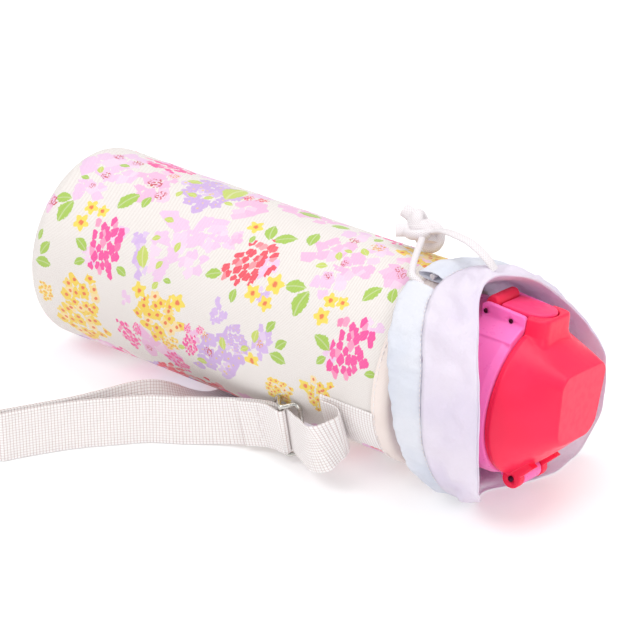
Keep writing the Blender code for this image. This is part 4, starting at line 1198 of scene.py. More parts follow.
def collar_path(rim_x, rim_r, seam_x):
    """(x, r, depth of the layers outside it, how loose) from the mouth to the rim and the seam."""
    back = seam_x + 0.0004
    share = max((back - COLLAR_MID_X) / (rim_x - COLLAR_MID_X), 0.0)
    under = min(COLLAR_MID_R + (rim_r - 0.0014 - COLLAR_MID_R) * share,
                CHANNEL_R - CHANNEL_HALF - 0.0004)
    deep = 2 * CHANNEL_HALF + 0.0004
    return smooth_path([
        (COLLAR_START_X, COLLAR_START_R, deep, 0.35),
        ((COLLAR_START_X + COLLAR_MID_X) / 2, (COLLAR_START_R + COLLAR_MID_R) / 2, deep, 1.0),
        (COLLAR_MID_X, COLLAR_MID_R, deep, 0.8),
        (max(back, COLLAR_MID_X + 0.001), under, deep, 0.5),
        (rim_x - 0.0016, rim_r - 0.0013, 0.0012, 0.35),
        (rim_x - 0.0003, rim_r - 0.0008, 0.0007, 0.25),
        (rim_x, rim_r - 0.0004, 0.0004, 0.25),
        (rim_x - 0.0004, rim_r - 0.00005, 0.0002, 0.3),
        (rim_x - 0.0020, rim_r, 0.0001, 0.4),
        ((rim_x + back) / 2, (rim_r + 0.0526) / 2 + 0.0003, 0.0001, 1.0),
        (back, 0.0524, 0.0001, 0.25),
    ], 5)


def collar_wrinkle(step, x, turn, loose):
    """(how far along, how far out) the collar is pushed at a step of its path."""
    _, y, z = round_pouch(0, 1, turn)
    outer = step > RIM_STEP
    gather = 0.25 if outer else 1.0
    pleat = math.sin(turn * 46 + 2.2 * ripple(0, y, z, 0.35, 1.0))
    near_mouth = math.exp(-((x - COLLAR_START_X) / 0.010) ** 2)
    crease = ripple(x / 0.6, y * 0.05, z * 0.05, 0.011, 2.3)
    diagonal = ripple(x + 0.02 * y, (y + 12 * x) * 0.04, z * 0.04, 0.009, 6.6)
    push = pleat * near_mouth * 0.0007 * gather + (0.0011 * crease + 0.0010 * diagonal) * loose
    if outer:
        fold = ripple(x / 1.4, (y + 7 * x) * 0.05, z * 0.05, 0.0075, 8.2)
        share = min(max((step - FOLD_STEP) / (LAST_STEP - FOLD_STEP), 0.0), 1.0)
        push += 0.0034 * fold * math.sin(math.pi * share)
        push = max(min(push, 0.0026), -0.0012)
    else:
        push = max(min(push - 0.0002, 0.0015), -0.0010)
    along = 0.0006 * ripple(3.0, y * 0.05, z * 0.05, 0.008, 4.4) * min(1.0, step / 20)
    return along * 0.4 if step > SEAM_STEP else along, push


def build_skirt():
    """The collar's one layer: gathered at the mouth, out to the rim, and back to the seam."""
    mesh = bmesh.new()
    columns = []
    for angle, rim_x, rim_r, seam_x, _ in collar_rows(420):
        column = []
        for step, (x, r, depth, loose) in enumerate(collar_path(rim_x, rim_r, seam_x)):
            along, push = collar_wrinkle(step, x, math.radians(angle), loose)
            column.append(mesh.verts.new(around(x + along, r + push, angle, depth)))
        columns.append(column)
    for one, two in zip(columns, columns[1:] + columns[:1]):
        for a in range(len(one) - 1):
            mesh.faces.new((one[a], two[a], two[a + 1], one[a + 1]))
    skirt = make("collar_nylon", mesh, LOOKS["skirt"], "pouch")
    thicken(skirt, SKIRT_THICK)
    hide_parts("collar_skirt")
    squash_with_lid(skirt)


def channel_at(angle):
    """(free edge x, seam x) of the drawstring channel at any angle."""
    first, *rest = COLLAR[0]
    angle = (angle - first) % 360 + first
    for one, two in zip(COLLAR, COLLAR[1:] + ((first + 360, *rest),)):
        if one[0] <= angle <= two[0]:
            share = (angle - one[0]) / (two[0] - one[0])
            return tuple(a + (b - a) * share for a, b in ((one[4], two[4]), (one[3], two[3])))
    raise ValueError(angle)


def hem_ring(angle, wall, end_ease):
    """The hem's outline at an angle, wall inside its surface. Its ends are less uneven."""
    _, y, z = round_pouch(0, 0.05, math.radians(angle))
    free_x, seam_x = channel_at(angle)
    edge = 0.0011 * ripple(1.0, y, z, 0.0070, 5.5) + 0.0005 * ripple(2.0, y, z, 0.0026, 2.0)
    tuck = 0.0013 * ripple(4.0, y, z, 0.0048, 6.1)
    ring = []
    for share, out in HEM_SHAPE:
        x = free_x + wall + (seam_x - free_x - 2 * wall) * share
        pucker = ripple(x / 1.6, y, z, 0.0062, 3.3)
        fine = ripple(x / 2.6, y, z, 0.0028, 7.1)
        lift = (CHANNEL_HALF - wall) * out * (1 + 0.10 * pucker)
        if out > 0.3:
            lift += 0.00110 * pucker * math.sin(math.pi * min(share * 1.1, 1)) + 0.00050 * fine
        x += (edge * (1 - share) ** 2 + tuck * share ** 4) * end_ease
        depth = max(CHANNEL_HALF - lift, 0.0001)
        ring.append(around(x, CHANNEL_R + lift, angle, depth))
    return ring


def on_seam(angle):
    return Vector(around(channel_at(angle)[1] - 0.0009, CHANNEL_R + CHANNEL_HALF * 0.5, angle,
                         0.0016))


def build_channel():
    """The puckered hem that holds the drawstring, open at the notch on top."""
    count = 520
    outer, inner = [], []
    mesh = bmesh.new()
    for i in range(count + 1):
        angle = CHANNEL_FROM + CHANNEL_TURN * i / count
        end_ease = min(1.0, i / 14, (count - i) / 14)
        for rows, wall in ((outer, 0.0), (inner, HEM_WALL)):
            rows.append([mesh.verts.new(place) for place in hem_ring(angle, wall, end_ease)])
    for one, two in zip(outer, outer[1:]):
        bridge(mesh, one, two)
    for one, two in zip(inner, inner[1:]):
        bridge(mesh, two, one)
    for end in (0, -1):
        bridge(mesh, outer[end], inner[end])
    channel = make("collar_hem", mesh, LOOKS["hem"], "pouch")
    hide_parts("cord_channel")
    squash_with_lid(channel)
    places = []
    rows = 150
    for i in range(rows):
        angle = CHANNEL_FROM + 2 + (CHANNEL_TURN - 4) * i / rows
        here = on_seam(angle)
        ahead = on_seam(angle + 1) - here
        places.append((here, ahead, round_pouch(0, 1, math.radians(angle))))
    seam = stitches("hem_stitches", places, 0.0014, 0.00018)
    squash_with_lid(seam)
    held = []
    for i in range(161):
        angle = CHANNEL_FROM + CHANNEL_TURN * i / 160
        held.append(around(sum(channel_at(angle)) / 2, CHANNEL_R, angle, CHANNEL_HALF))
    cord = sweep(held, circle(0.0014, 10), uv="weave")
    string = make("drawstring_round", cord, LOOKS["cord"], "pouch")
    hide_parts("drawstring")
    squash_with_lid(string)


# Drawstring: both ends leave the channel at the notch on top and meet in a knot

KNOT = Vector((0.181, 0.020, 0.0520))
NEAR_END = (
    (0.2040, -0.0150, 0.0484),
    (0.2015, -0.0152, 0.0502),
    (0.1985, -0.0146, 0.0514),
    (0.1945, -0.0080, 0.0524),
    (0.1900, 0.0020, 0.0530),
    (0.1860, 0.0110, 0.0525),
    (0.1810, 0.0205, 0.0515),
)
FAR_END = (
    (0.2285, 0.0050, 0.0545),
    (0.2240, 0.0052, 0.0590),
    (0.2150, 0.0070, 0.0625),
    (0.2050, 0.0100, 0.0620),
    (0.1975, 0.0135, 0.0598),
    (0.1925, 0.0165, 0.0572),
    (0.1870, 0.0190, 0.0540),
    (0.1815, 0.0210, 0.0520),
)
KNOT_TAILS = (
    ((0.1800, 0.0205, 0.0520), (0.1760, 0.0222, 0.0540), (0.1715, 0.0235, 0.0560),
     (0.1680, 0.0240, 0.0568)),
    ((0.1795, 0.0195, 0.0515), (0.1762, 0.0180, 0.0515), (0.1725, 0.0160, 0.0514),
     (0.1700, 0.0145, 0.0512)),
)


def knot_mesh():
    """A loop wrapped three ways round a core, and the cord's two short tails."""
    turn = (Matrix.Translation(KNOT) @ Matrix.Rotation(-0.35, 4, "Z")
            @ Matrix.Rotation(0.45, 4, "Y"))
    loops = []
    for i in range(96):
        t = math.tau * i / 96
        x = (math.sin(t) + 2 * math.sin(2 * t)) / 3 * 0.0088
        y = (math.cos(t) - 2 * math.cos(2 * t)) / 3 * 0.0064
        z = -math.sin(3 * t) * 0.0030
        loops.append(tuple(turn @ Vector((x, y, z))))
    wrap = sweep(loops, oval(0.0030, 0.0022), closed=True, uv="weave")
    core = []
    for i in range(13):
        t = -0.9 + 1.8 * i / 12
        bend = Vector((0.0075 * t, 0.0012 * math.sin(4 * t), 0.0012 * math.cos(3 * t)))
        core.append(tuple(turn @ bend))
    middle = sweep(core, oval(0.0040, 0.0034), uv="weave")
    tails = [sweep(resample(smooth_path(points, 6), 0.0006)[0], oval(0.0031, 0.0016), uv="weave")
             for points in KNOT_TAILS]
    return joined(wrap, middle, *tails)


def build_cord_ends():
    knot = make("drawstring_tie", knot_mesh(), LOOKS["cord"], "pouch", outward=False)
    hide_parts("drawstring_knot")
    for name, points, half_wide, half_thick, node in (
        ("drawstring_near", NEAR_END, 0.00155, 0.0014, "drawstring_end_near"),
        ("drawstring_far", FAR_END, 0.0024, 0.0011, "drawstring_end_far"),
    ):
        path, length = resample(smooth_path(points, 8), 0.0006)
        mesh = sweep(path, oval(half_wide, half_thick), [UP] * len(path), uv="weave")
        cord = make(name, mesh, LOOKS["cord"], "pouch")
        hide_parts(node)


# Strap: each row of its route is (x, y, degrees that it leans from standing to flat, lift off the
# surface)

WEB_WIDTH = 0.025
WEB_THICK = 0.0008
WEB_PITCH = 0.0011  # centre to centre of the strap's two layers
GAP = 0.0003
SLIDER = (0.1520, -0.0450)
FOLD_R = 0.0016
FRONT_RUN = (
    (SLIDER[0], SLIDER[1], 10, 0.0065),
    (0.1395, -0.0446, 7, 0.0040),
    (0.1225, -0.0490, 2, 0.0010),
    (0.1040, -0.0598, 0, 0),
    (0.0910, -0.0675, 0, 0),
    (0.0795, -0.0780, 0, 0),
    (0.0650, -0.0925, 0, 0),
    (0.0520, -0.1095, 0, 0),
    (0.0463, -0.1180, 0, 0),
)
BACK_RUN = (
    (0.0560, -0.0990, 0, 0),
    (0.0640, -0.0875, 0, 0),
    (0.0735, -0.0725, 6, 0),
    (0.0810, -0.0610, 22, 0),
    (0.0885, -0.0500, 48, 0),
    (0.0955, -0.0380, 72, 0),
    (0.1010, -0.0245, 88, 0),
    (0.1045, -0.0100, 90, 0),
    (0.1070, 0.0060, 90, 0),
    (0.1090, 0.0220, 90, 0),
    (0.1110, 0.0380, 78, 0),
    (0.1140, 0.0520, 50, 0),
    (0.1200, 0.0650, 20, 0),
    (0.1310, 0.0735, 0, 0.0030),
    (0.1440, 0.0740, 0, 0.0120),
    (0.1550, 0.0680, 0, 0.0210),
    (0.1635, 0.0590, 0, 0.0280),
)
RING = (0.1712, 0.0500, -0.0040)
RING_REACH = 0.0080
WIRE_R = 0.0011
WRAP_R = WIRE_R + GAP + WEB_THICK / 2 + 0.0001
BAR_R = 0.0010
BAR_WRAP_R = BAR_R + GAP + WEB_THICK / 2
FLAP = 0.026
TAB_ANGLE = -20.0
TAB_HALF_ANGLE = 15.5
TAB_START_X = 0.1715


def strap_base():
    """The line midway between the strap's two layers, with its fold at the left."""
    end = Vector(FRONT_RUN[-1][:2])
    heading = (end - Vector(FRONT_RUN[-2][:2])).normalized()
    side = Vector((heading.y, -heading.x))
    centre = end + side * FOLD_R
    fold = []
    for i in range(1, 7):
        turn = math.radians(180 * i / 6)
        place = centre - side * FOLD_R * math.cos(turn) + heading * FOLD_R * math.sin(turn)
        fold.append((place.x, place.y, 0, 0))
    front = smooth_path(FRONT_RUN, 3)
    back = smooth_path([fold[-1]] + list(BACK_RUN), 3)
    return front + fold[:-1] + back


def strap_frames(base):
    """(centre, width direction, layer direction) at each point of the base line."""
    frames = []
    thickness = (WEB_PITCH + WEB_THICK) / 2
    for i, (x, y, lean, lift) in enumerate(base):
        one = base[max(i - 1, 0)]
        two = base[min(i + 1, len(base) - 1)]
        ahead = Vector((two[0] - one[0], two[1] - one[1], 0)).normalized()
        left = Vector((-ahead.y, ahead.x, 0))
        turn = math.radians(lean)
        height = WEB_WIDTH / 2 * math.cos(turn) + thickness * math.sin(turn) + lift
        across = UP * math.cos(turn) + left * math.sin(turn)
        frames.append((Vector((x, y, height - FLOOR)), across, ahead.cross(across)))
    return frames


def on_tab(x, out):
    return Vector(around(x, POUCH_R + GAP + out, TAB_ANGLE))


def near_loop(start, across):
    """Stations from the strap's end, sewn on the near tab, out round the loop to the slider."""
    turn = math.radians(TAB_ANGLE)
    tangent = Vector((0, math.sin(turn), math.cos(turn)))
    rise = WEB_THICK + GAP + WEB_THICK / 2
    rows = [
        (on_tab(0.1740, rise), tangent), (on_tab(0.1795, rise), tangent),
        (on_tab(0.1838, rise + 0.0010), tangent), (on_tab(0.1862, rise + 0.0042), tangent),
        (on_tab(0.1852, rise + 0.0080), Vector((0, -0.22, 0.97))),
        (Vector((0.1800, -0.0572, -0.0225)), Vector((0, -0.16, 0.98))),
        (Vector((0.1725, -0.0560, -0.0262)), Vector((0, -0.12, 0.99))),
        (Vector((0.1635, -0.0505, -0.0290)), Vector((0, -0.14, 0.99))),
        (start, across),
    ]
    flat = smooth_path([(*centre, *tilt) for centre, tilt in rows], 4)
    return [(row[:3], row[3:]) for row in flat[:-1]]


def ring_wrap(frames):
    centre = frames[-1][0]
    bar = Vector((RING[0], RING[1], centre.z))
    heading = bar - centre
    heading.z = 0
    heading.normalize()
    side = heading.cross(UP)
    up = Vector((0, 0, RING[2] - centre.z))
    stations = []
    for i in range(9):
        turn = math.radians(180 * i / 8)
        place = bar + (side * math.cos(turn) + heading * math.sin(turn)) * WRAP_R
        stations.append((place + up, UP))
    return stations


def bar_wrap(frames):
    """The strap's other end: round the slider's bar, then back along the front as a sewn flap."""
    centre, across, out = frames[0]
    heading = (frames[1][0] - centre).normalized()
    heading.z = 0
    bar = centre - out * (WEB_PITCH / 2 + BAR_WRAP_R) - heading * 0.0005
    stations = []
    for i in range(1, 8):
        turn = math.radians(180 * i / 8)
        place = bar + (out * math.cos(turn) - heading * math.sin(turn)) * BAR_WRAP_R
        stations.append((place, across))
    flap_rows = [(bar - out * BAR_WRAP_R, across)]
    travelled = 0.0
    for one, two in zip(frames, frames[1:]):
        travelled += (two[0] - one[0]).length
        if travelled > FLAP:
            break
        ease = min(travelled / 0.010, 1.0)
        offset = WEB_PITCH * 1.5 + (1 - ease) * 2 * (BAR_WRAP_R - WEB_PITCH / 2)
        flap_rows.append((two[0] - two[2] * offset, two[1]))
    return bar, heading, stations + flap_rows


def ribbon(name, stations, replaces):
    """Webbing along stations of (centre, direction of its width), with fine scalloped edges."""
    rows = resample([(*centre, *Vector(across).normalized()) for centre, across in stations],
                    0.00075)[0]
    path = [row[:3] for row in rows]
    half = WEB_THICK / 2
    edge = WEB_WIDTH / 2

    def section(i, share):
        wide = edge + (0.00010 if i % 2 else -0.00012)
        rim = edge - 0.0011
        front = [(half * 0.45, -wide), (half, -rim), (half, -rim / 3), (half, rim / 3),
                 (half, rim), (half * 0.45, wide)]
        return front + [(-a, b) for a, b in reversed(front)]

    piece = make(name, sweep(path, section, [Vector(row[3:]) for row in rows], uv="weave"),
                 LOOKS["webbing"], "pouch")
    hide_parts(*replaces)
    return piece


def across_stitches(name, centre, across, out, count, lift):
    """A row of stitches over the webbing's width."""
    places = []
    for i in range(count):
        share = (i + 0.5) / count - 0.5
        places.append((centre + across * WEB_WIDTH * 0.86 * share + out * lift, across, out))
    stitches(name, places, 0.0017)


def build_strap():
    frames = strap_frames(strap_base())
    half = WEB_PITCH / 2
    behind = [(centre + out * half, across) for centre, across, out in frames]
    front = [(centre - out * half, across) for centre, across, out in reversed(frames)]
    bar, heading, flap = bar_wrap(frames)
    route = near_loop(*behind[0]) + behind + ring_wrap(frames) + front + flap
    strap = ribbon("shoulder_strap", route, ["strap_webbing"])
    build_slider(bar, heading, frames[0])
    build_ring()
    centre, across = (Vector(part) for part in flap[-3])
    ahead = (Vector(flap[-2][0]) - centre).normalized()
    out = across.cross(ahead).normalized()
    if out.y > 0:
        out = -out
    for k in range(2):
        across_stitches(f"flap_stitches_{k}", centre + ahead * 0.0022 * k, across.normalized(),
                        out, 11, WEB_THICK / 2 + 0.0001)


def build_slider(bar, heading, first):
    """An oval wire frame behind the webbing, bowed forward to its middle bar."""
    centre, across, out = first
    reach = 0.0072
    tall = WEB_WIDTH / 2 + 2 * GAP + WIRE_R
    rail = WEB_PITCH / 2 + WEB_THICK / 2 + 2 * GAP + WIRE_R
    bow = (bar - centre).dot(out)
    points = []
    for end in (1, -1):
        for i in range(25):
            along = end * (-1 + 2 * i / 24)
            bowed = 1 + math.cos(math.pi * min(abs(along) * 1.25, 1))
            forward = rail + (bow - rail) * 0.5 * bowed
            drop = 0.0026 * max(0.0, abs(along) - 0.62) ** 2 / 0.1444
            place = bar + heading * along * reach + out * (forward - bow)
            points.append(tuple(place + across * end * (tall - drop)))
    wire = sweep(points, circle(WIRE_R, 16), closed=True)
    heights = (-1.0, -0.5, 0.0, 0.5, 1.0)
    post = sweep([tuple(bar + across * tall * s) for s in heights], circle(BAR_R, 16))
    slider = make("slider_buckle", joined(wire, post), LOOKS["steel"], "pouch")
    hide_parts("strap_slider")


def build_ring():
    x, y, z = RING
    tall = WEB_WIDTH / 2 + GAP + WIRE_R + 0.0008
    corner = 0.003
    points = []
    for cx, cz, start in (
        (x + RING_REACH - corner, z + tall - corner, 0),
        (x + corner, z + tall - corner, 90),
        (x + corner, z - tall + corner, 180),
        (x + RING_REACH - corner, z - tall + corner, 270),
    ):
        points += [(px, y, pz) for px, pz in arc(cx, cz, corner, start, start + 90, 8)]
    ring = make("far_ring", sweep(points, circle(WIRE_R, 16), closed=True), LOOKS["steel"], "pouch")
    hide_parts("strap_ring")
    far_x = x + RING_REACH
    near_leg = POUCH_R + GAP + WEB_THICK / 2 + 0.0001
    rows = [
        (BINDING_X - GAP, near_leg), (0.1920, near_leg), (0.1860, near_leg + 0.0004),
        (far_x + 0.0022, y - 0.0017),
    ]
    stations = [(Vector((px, py, z)), UP) for px, py in rows]
    for i in range(9):
        turn = math.radians(-90 - 180 * i / 8)
        place = (far_x + WRAP_R * math.cos(turn), y + WRAP_R * math.sin(turn), z)
        stations.append((Vector(place), UP))
    for px, py in ((far_x + 0.0022, y + 0.0017), (0.1870, y + 0.0002), (0.1930, y - 0.0010)):
        stations.append((Vector((px, py, z)), UP))
    ribbon("far_tab", stations, ["strap_tab_far"])


def build_near_tab():
    """A curved strip of webbing on the pouch's side, sewn in under the binding."""
    mesh = bmesh.new()
    layer = mesh.loops.layers.uv.new("weave")
    length = BINDING_X + 0.001 - TAB_START_X
    steps, rows = 24, 34
    sheets = []
    for out in (GAP + WEB_THICK, GAP - 0.0001):
        grid = []
        for i in range(rows + 1):
            line = []
            for j in range(steps + 1):
                angle = TAB_ANGLE + TAB_HALF_ANGLE * (2 * j / steps - 1)
                soft = 0.0004 if j in (0, steps) and out > GAP else 0.0
                line.append(mesh.verts.new(
                    around(TAB_START_X + length * i / rows, POUCH_R + out - soft, angle)))
            grid.append(line)
        sheets.append(grid)
    width = math.radians(2 * TAB_HALF_ANGLE) * POUCH_R / MM

    def quad(corners, marks):
        face = mesh.faces.new(corners)
        for loop, mark in zip(face.loops, marks):
            loop[layer].uv = mark

    for grid in sheets:
        for i in range(rows):
            for j in range(steps):
                u = [length / MM * s / rows for s in (i, i + 1)]
                v = [width * s / steps for s in (j, j + 1)]
                quad((grid[i][j], grid[i + 1][j], grid[i + 1][j + 1], grid[i][j + 1]),
                     ((u[0], v[0]), (u[1], v[0]), (u[1], v[1]), (u[0], v[1])))
    top, low = sheets
    for i in range(rows):
        for j in (0, steps):
            quad((top[i][j], top[i + 1][j], low[i + 1][j], low[i][j]),
                 ((i, 0), (i + 1, 0), (i + 1, 1), (i, 1)))
    for j in range(steps):
        for i in (0, rows):
            quad((top[i][j], top[i][j + 1], low[i][j + 1], low[i][j]),
                 ((j, 0), (j + 1, 0), (j + 1, 1), (j, 1)))
    tab = make("near_tab", mesh, LOOKS["webbing"], "pouch")
    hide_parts("strap_tab_near")


# Bottle: everything here is laid out with its latch straight up, then rolled to the far side

FLASK_R = 0.0382
NECK_R = 0.0292
CAP_R = 0.0365
CAP_RIM_X = 0.250
LID_R = 0.0346
LID_END_X = 0.277
LID_WALL = 0.002
HINGE_X, HINGE_Z = 0.2552, -0.0345
HINGE_EAR_R = 0.0046
LATCH_X, LATCH_Z = 0.2431, 0.0365
LOCK_X, LOCK_Z = 0.2300, 0.0373
LATCH_HALF_WIDTH = 0.012
TOWER = ((0.2285, 0.0310), (0.2499, 0.0310), (0.2504, 0.0355), (0.2504, 0.0390),
         (0.2490, 0.0403), (0.2300, 0.0415), (0.2275, 0.0400))
MOULD_STEP = 0.00034
PIN_BORES = ((0.00142, 0.009, HINGE_X, HINGE_Z), (0.00117, 0.013, LATCH_X, LATCH_Z),
             (0.00117, 0.013, LOCK_X, LOCK_Z))  # radius, half length, x, z
THREAD_PITCH = 0.004


def combine(piece, mesh, operation):
    """Adds a bmesh to a piece or cuts it out."""
    bmesh.ops.recalc_face_normals(mesh, faces=mesh.faces)
    data = bpy.data.meshes.new("tool")
    mesh.to_mesh(data)
    mesh.free()
    tool = link("tool", data)
    tool.matrix_world = piece.matrix_world
    modifier = piece.modifiers.new("with_tool", "BOOLEAN")
    modifier.operation = operation
    modifier.object = tool
    modifier.solver = "EXACT"
    apply_modifiers(piece)
    bpy.data.objects.remove(tool)
    bpy.data.meshes.remove(data)


def moulded(piece, rounds):
    """Rebuilds a piece as one even mesh with soft edges, as moulded plastic has."""
    even = piece.modifiers.new("even", "REMESH")
    even.mode = "VOXEL"
    even.voxel_size = MOULD_STEP * 1
    even.use_smooth_shade = True
    soft = piece.modifiers.new("soft", "SMOOTH")
    soft.factor = 0.5
    soft.iterations = rounds
    fewer = piece.modifiers.new("fewer", "DECIMATE")
    fewer.ratio = 0.28
    apply_modifiers(piece)
    piece.data.shade_smooth()


def build_flask():
    base_x = 0.0062
    lathe("base_cap", [
        (base_x, 0), (base_x, FLASK_R - 0.0095), (base_x + 0.0008, FLASK_R - 0.0085),
        (base_x + 0.0008, FLASK_R - 0.0065), (base_x, FLASK_R - 0.0055),
        (base_x, FLASK_R - 0.0015), (base_x + 0.0015, FLASK_R + 0.0004),
        (0.0180, FLASK_R + 0.0004), (0.0180, FLASK_R - 0.0006), (0.0088, FLASK_R - 0.0006),
        (0.0088, 0),
    ], LOOKS["base"], "bottle", ["base_cover"], corner=0.0012)
    wall = 0.0006
    side = FLASK_R - 0.0009
    lip_x = 0.2365
    lathe("outer_wall", [
        (0.0095, 0), (0.0095, side - 0.004), (0.0120, side), (0.0300, side), (0.0310, FLASK_R),
        (0.1990, FLASK_R), (0.2070, NECK_R + 0.0040), (0.2090, NECK_R), (lip_x, NECK_R),
        (lip_x, NECK_R - wall), (0.2088, NECK_R - wall), (0.2066, NECK_R + 0.0036),
        (0.1986, FLASK_R - wall), (0.0314, FLASK_R - wall), (0.0304, side - wall),
        (0.0124, side - wall), (0.0101, side - 0.0044), (0.0101, 0),
    ], LOOKS["flask"], "bottle", ["flask_outer"], corner=0.0030, steps=128)
    bore = 0.0275
    lathe("inner_wall", [
        (0.0150, 0), (0.0150, 0.0300), (0.0200, 0.0355), (0.1960, 0.0355),
        (0.2060, bore + wall + 0.0030), (0.2085, bore + wall), (lip_x + GAP, bore + wall),
        (lip_x + GAP, NECK_R), (lip_x + 0.0010, NECK_R), (lip_x + 0.0010, bore), (0.2082, bore),
        (0.2054, bore + 0.0028), (0.1956, 0.0349), (0.0204, 0.0349), (0.0156, 0.0296),
        (0.0156, 0),
    ], LOOKS["flask"], "bottle", ["flask_inner"], corner=0.0030, steps=128)
    collar = turned([(0.2150, NECK_R + GAP), (0.2340, NECK_R + GAP), (0.2340, NECK_R + 0.0010),
                     (0.2150, NECK_R + 0.0010)], 128)
    rings = []
    steps = 2 * 96
    for i in range(steps + 1):
        turn = math.tau * i / 96
        x = 0.2165 + THREAD_PITCH * i / 96
        grow = min(1.0, i / 14, (steps - i) / 14)
        flank = 0.0009 + 0.0006 * grow
        rings.append([
            (x + dx, -(NECK_R + dr) * math.sin(turn), (NECK_R + dr) * math.cos(turn))
            for dx, dr in ((0, 0.0006), (0.0007, flank), (0.0011, 0.0010 + 0.0008 * grow),
                           (0.0018, flank), (0.0027, 0.0006))
        ])
    ridge = bmesh.new()
    tube(ridge, rings)
    thread = make("neck_screw", joined(collar, ridge), LOOKS["flask"], "bottle", roll=True)
    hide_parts("neck_thread")


def build_cap():
    skirt = 0.0314
    cap = make("cap_shell", turned([
        (0.2140, skirt), (0.2140, CAP_R - 0.0008), (0.2148, CAP_R), (0.2460, CAP_R),
        (0.2496, CAP_R - 0.0012), (CAP_RIM_X, CAP_R - 0.0028), (CAP_RIM_X, 0.0326),
        (0.2424, 0.0322), (0.2424, 0.0112), (0.2398, 0.0112), (0.2398, 0.0240),
        (0.2300, 0.0240), (0.2300, 0.0265), (0.2398, 0.0265), (0.2398, skirt),
    ], 160), LOOKS["cap"], "cap")
    combine(cap, lofted([
        [(x, y, z) for y, z in ((-0.0122, 0.0352), (-0.0215, 0.0304), (-0.0210, 0.0250),
                                (0.0210, 0.0250), (0.0215, 0.0304), (0.0122, 0.0352))]
        for x in (0.2287, 0.2498)
    ]), "UNION")
    combine(cap, block(TOWER, -LATCH_HALF_WIDTH, LATCH_HALF_WIDTH, 0.0006), "UNION")
    combine(cap, block([
        (0.2200, 0.0368), (0.2330, 0.0332), (0.2600, 0.0332), (0.2600, 0.0500),
        (0.2200, 0.0500),
    ], -LATCH_HALF_WIDTH + 0.0024, LATCH_HALF_WIDTH - 0.0024), "DIFFERENCE")
    combine(cap, block(
        [(0.2470, -0.0345), (0.2470, -0.0312), (0.2499, -0.0316)]
        + arc(HINGE_X, HINGE_Z, 0.0043, 105, -120, 24)
        + [(0.2470, -0.0366)], -0.0072, 0.0072), "UNION")
    combine(cap, rod(0.0033, -0.0034, 0.0034, HINGE_X, HINGE_Z), "DIFFERENCE")
    moulded(cap, 5)
    for radius, wide, x, z in PIN_BORES:
        combine(cap, rod(radius, -wide, wide, x, z, 24), "DIFFERENCE")
    cap.data.transform(ROLLED)
    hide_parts("cap_body")
    for name, node, radius, wide, x, z in (
        ("hinge_axle", "hinge_pin", 0.00125, 0.0126, HINGE_X, HINGE_Z),
        ("latch_axle", "latch_pin", 0.0010, 0.0122, LATCH_X, LATCH_Z),
        ("lock_axle", "lock_pin", 0.0010, 0.0122, LOCK_X, LOCK_Z),
    ):
        pin = make(name, rod(radius, -wide, wide, x, z, 32, 0.0002), LOOKS["pin"], "cap", roll=True)
        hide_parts(node)
    coil = []
    for i in range(145):
        t = math.tau * i / 48
        coil.append((HINGE_X + 0.0022 * math.cos(t), -0.0024 + 0.0048 * i / 144,
                     HINGE_Z + 0.0022 * math.sin(t)))
    spring = make("lid_coil", sweep(coil, circle(0.0004, 12)), LOOKS["steel"], "cap", roll=True)
    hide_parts("lid_spring")
    lathe("cap_seal", [(0.2310, 0.0268), (0.2310, 0.0273), (0.2335, 0.0273), (0.2335, 0.0268)],
          LOOKS["rubber"], "cap_lifter", ["cap_gasket"])
    lathe("drinking_spout", [
        (0.2427, 0.0088), (0.2427, 0.0165), (0.2443, 0.0165), (0.2450, 0.0128),
        (0.2600, 0.0118), (0.2612, 0.0108), (0.2612, 0.0096), (0.2600, 0.0088),
    ], LOOKS["spout"], "cap", ["spout"], corner=0.0006)
    lathe("spout_seal", [(0.2376, 0.0116), (0.2376, 0.0140), (0.2395, 0.0140), (0.2395, 0.0116)],
          LOOKS["rubber"], "cap_carrier", ["spout_gasket"])


def reach(corners, angle):
    """Distance from the axis to a convex outline of (y, z) corners, in one direction."""
    dy = math.cos(angle)
    dz = math.sin(angle)
    best = 0.0
    for (y0, z0), (y1, z1) in zip(corners, corners[1:] + corners[:1]):
        ey = y1 - y0
        ez = z1 - z0
        cross = dy * ez - dz * ey
        if abs(cross) < 1e-12:
            continue
        far = (y0 * ez - z0 * ey) / cross
        share = (y0 * dz - z0 * dy) / cross
        if far > 0 and -1e-9 <= share <= 1 + 1e-9:
            best = max(best, far)
    return best


def lid_rings(inset):
    """Rings of the lid's surface, inset inside it, from its round rim to its shield-shaped end."""
    steps = 180
    shield = rounded([(0.0190, 0.0175), (0.0155, 0.0215), (-0.0155, 0.0215), (-0.0190, 0.0175),
                      (-0.0165, -0.0070), (-0.0115, -0.0115), (0.0115, -0.0115),
                      (0.0165, -0.0070)], 0.0045, 5)
    far = [reach(shield, math.tau * i / steps) for i in range(steps)]
    stops = ((CAP_RIM_X + GAP, 0.0), (0.2520, 0.0), (0.2535, 0.0), (0.2600, 0.25), (0.2690, 0.62),
             (LID_END_X - 0.0015, 0.92), (LID_END_X - 0.0003, 0.975), (LID_END_X, 1.0))
    rows = []
    for x, share in smooth_path(stops, 4):
        ring = []
        for i in range(steps):
            angle = math.tau * i / steps
            r = LID_R + (far[i] - LID_R) * share - inset
            back = inset if share > 0.9 else 0
            ring.append((x - back, r * math.cos(angle), r * math.sin(angle)))
        rows.append(ring)
    return rows


def pill(grow, steps=40):
    """The button's outline from above, as (x, y) points: square at the lock, round at the lid."""
    half = 0.0086 + grow
    tail = 0.2355 - grow
    return arc(0.2494, 0, half, -90, 90, steps) + [(tail, half), (tail, -half)]


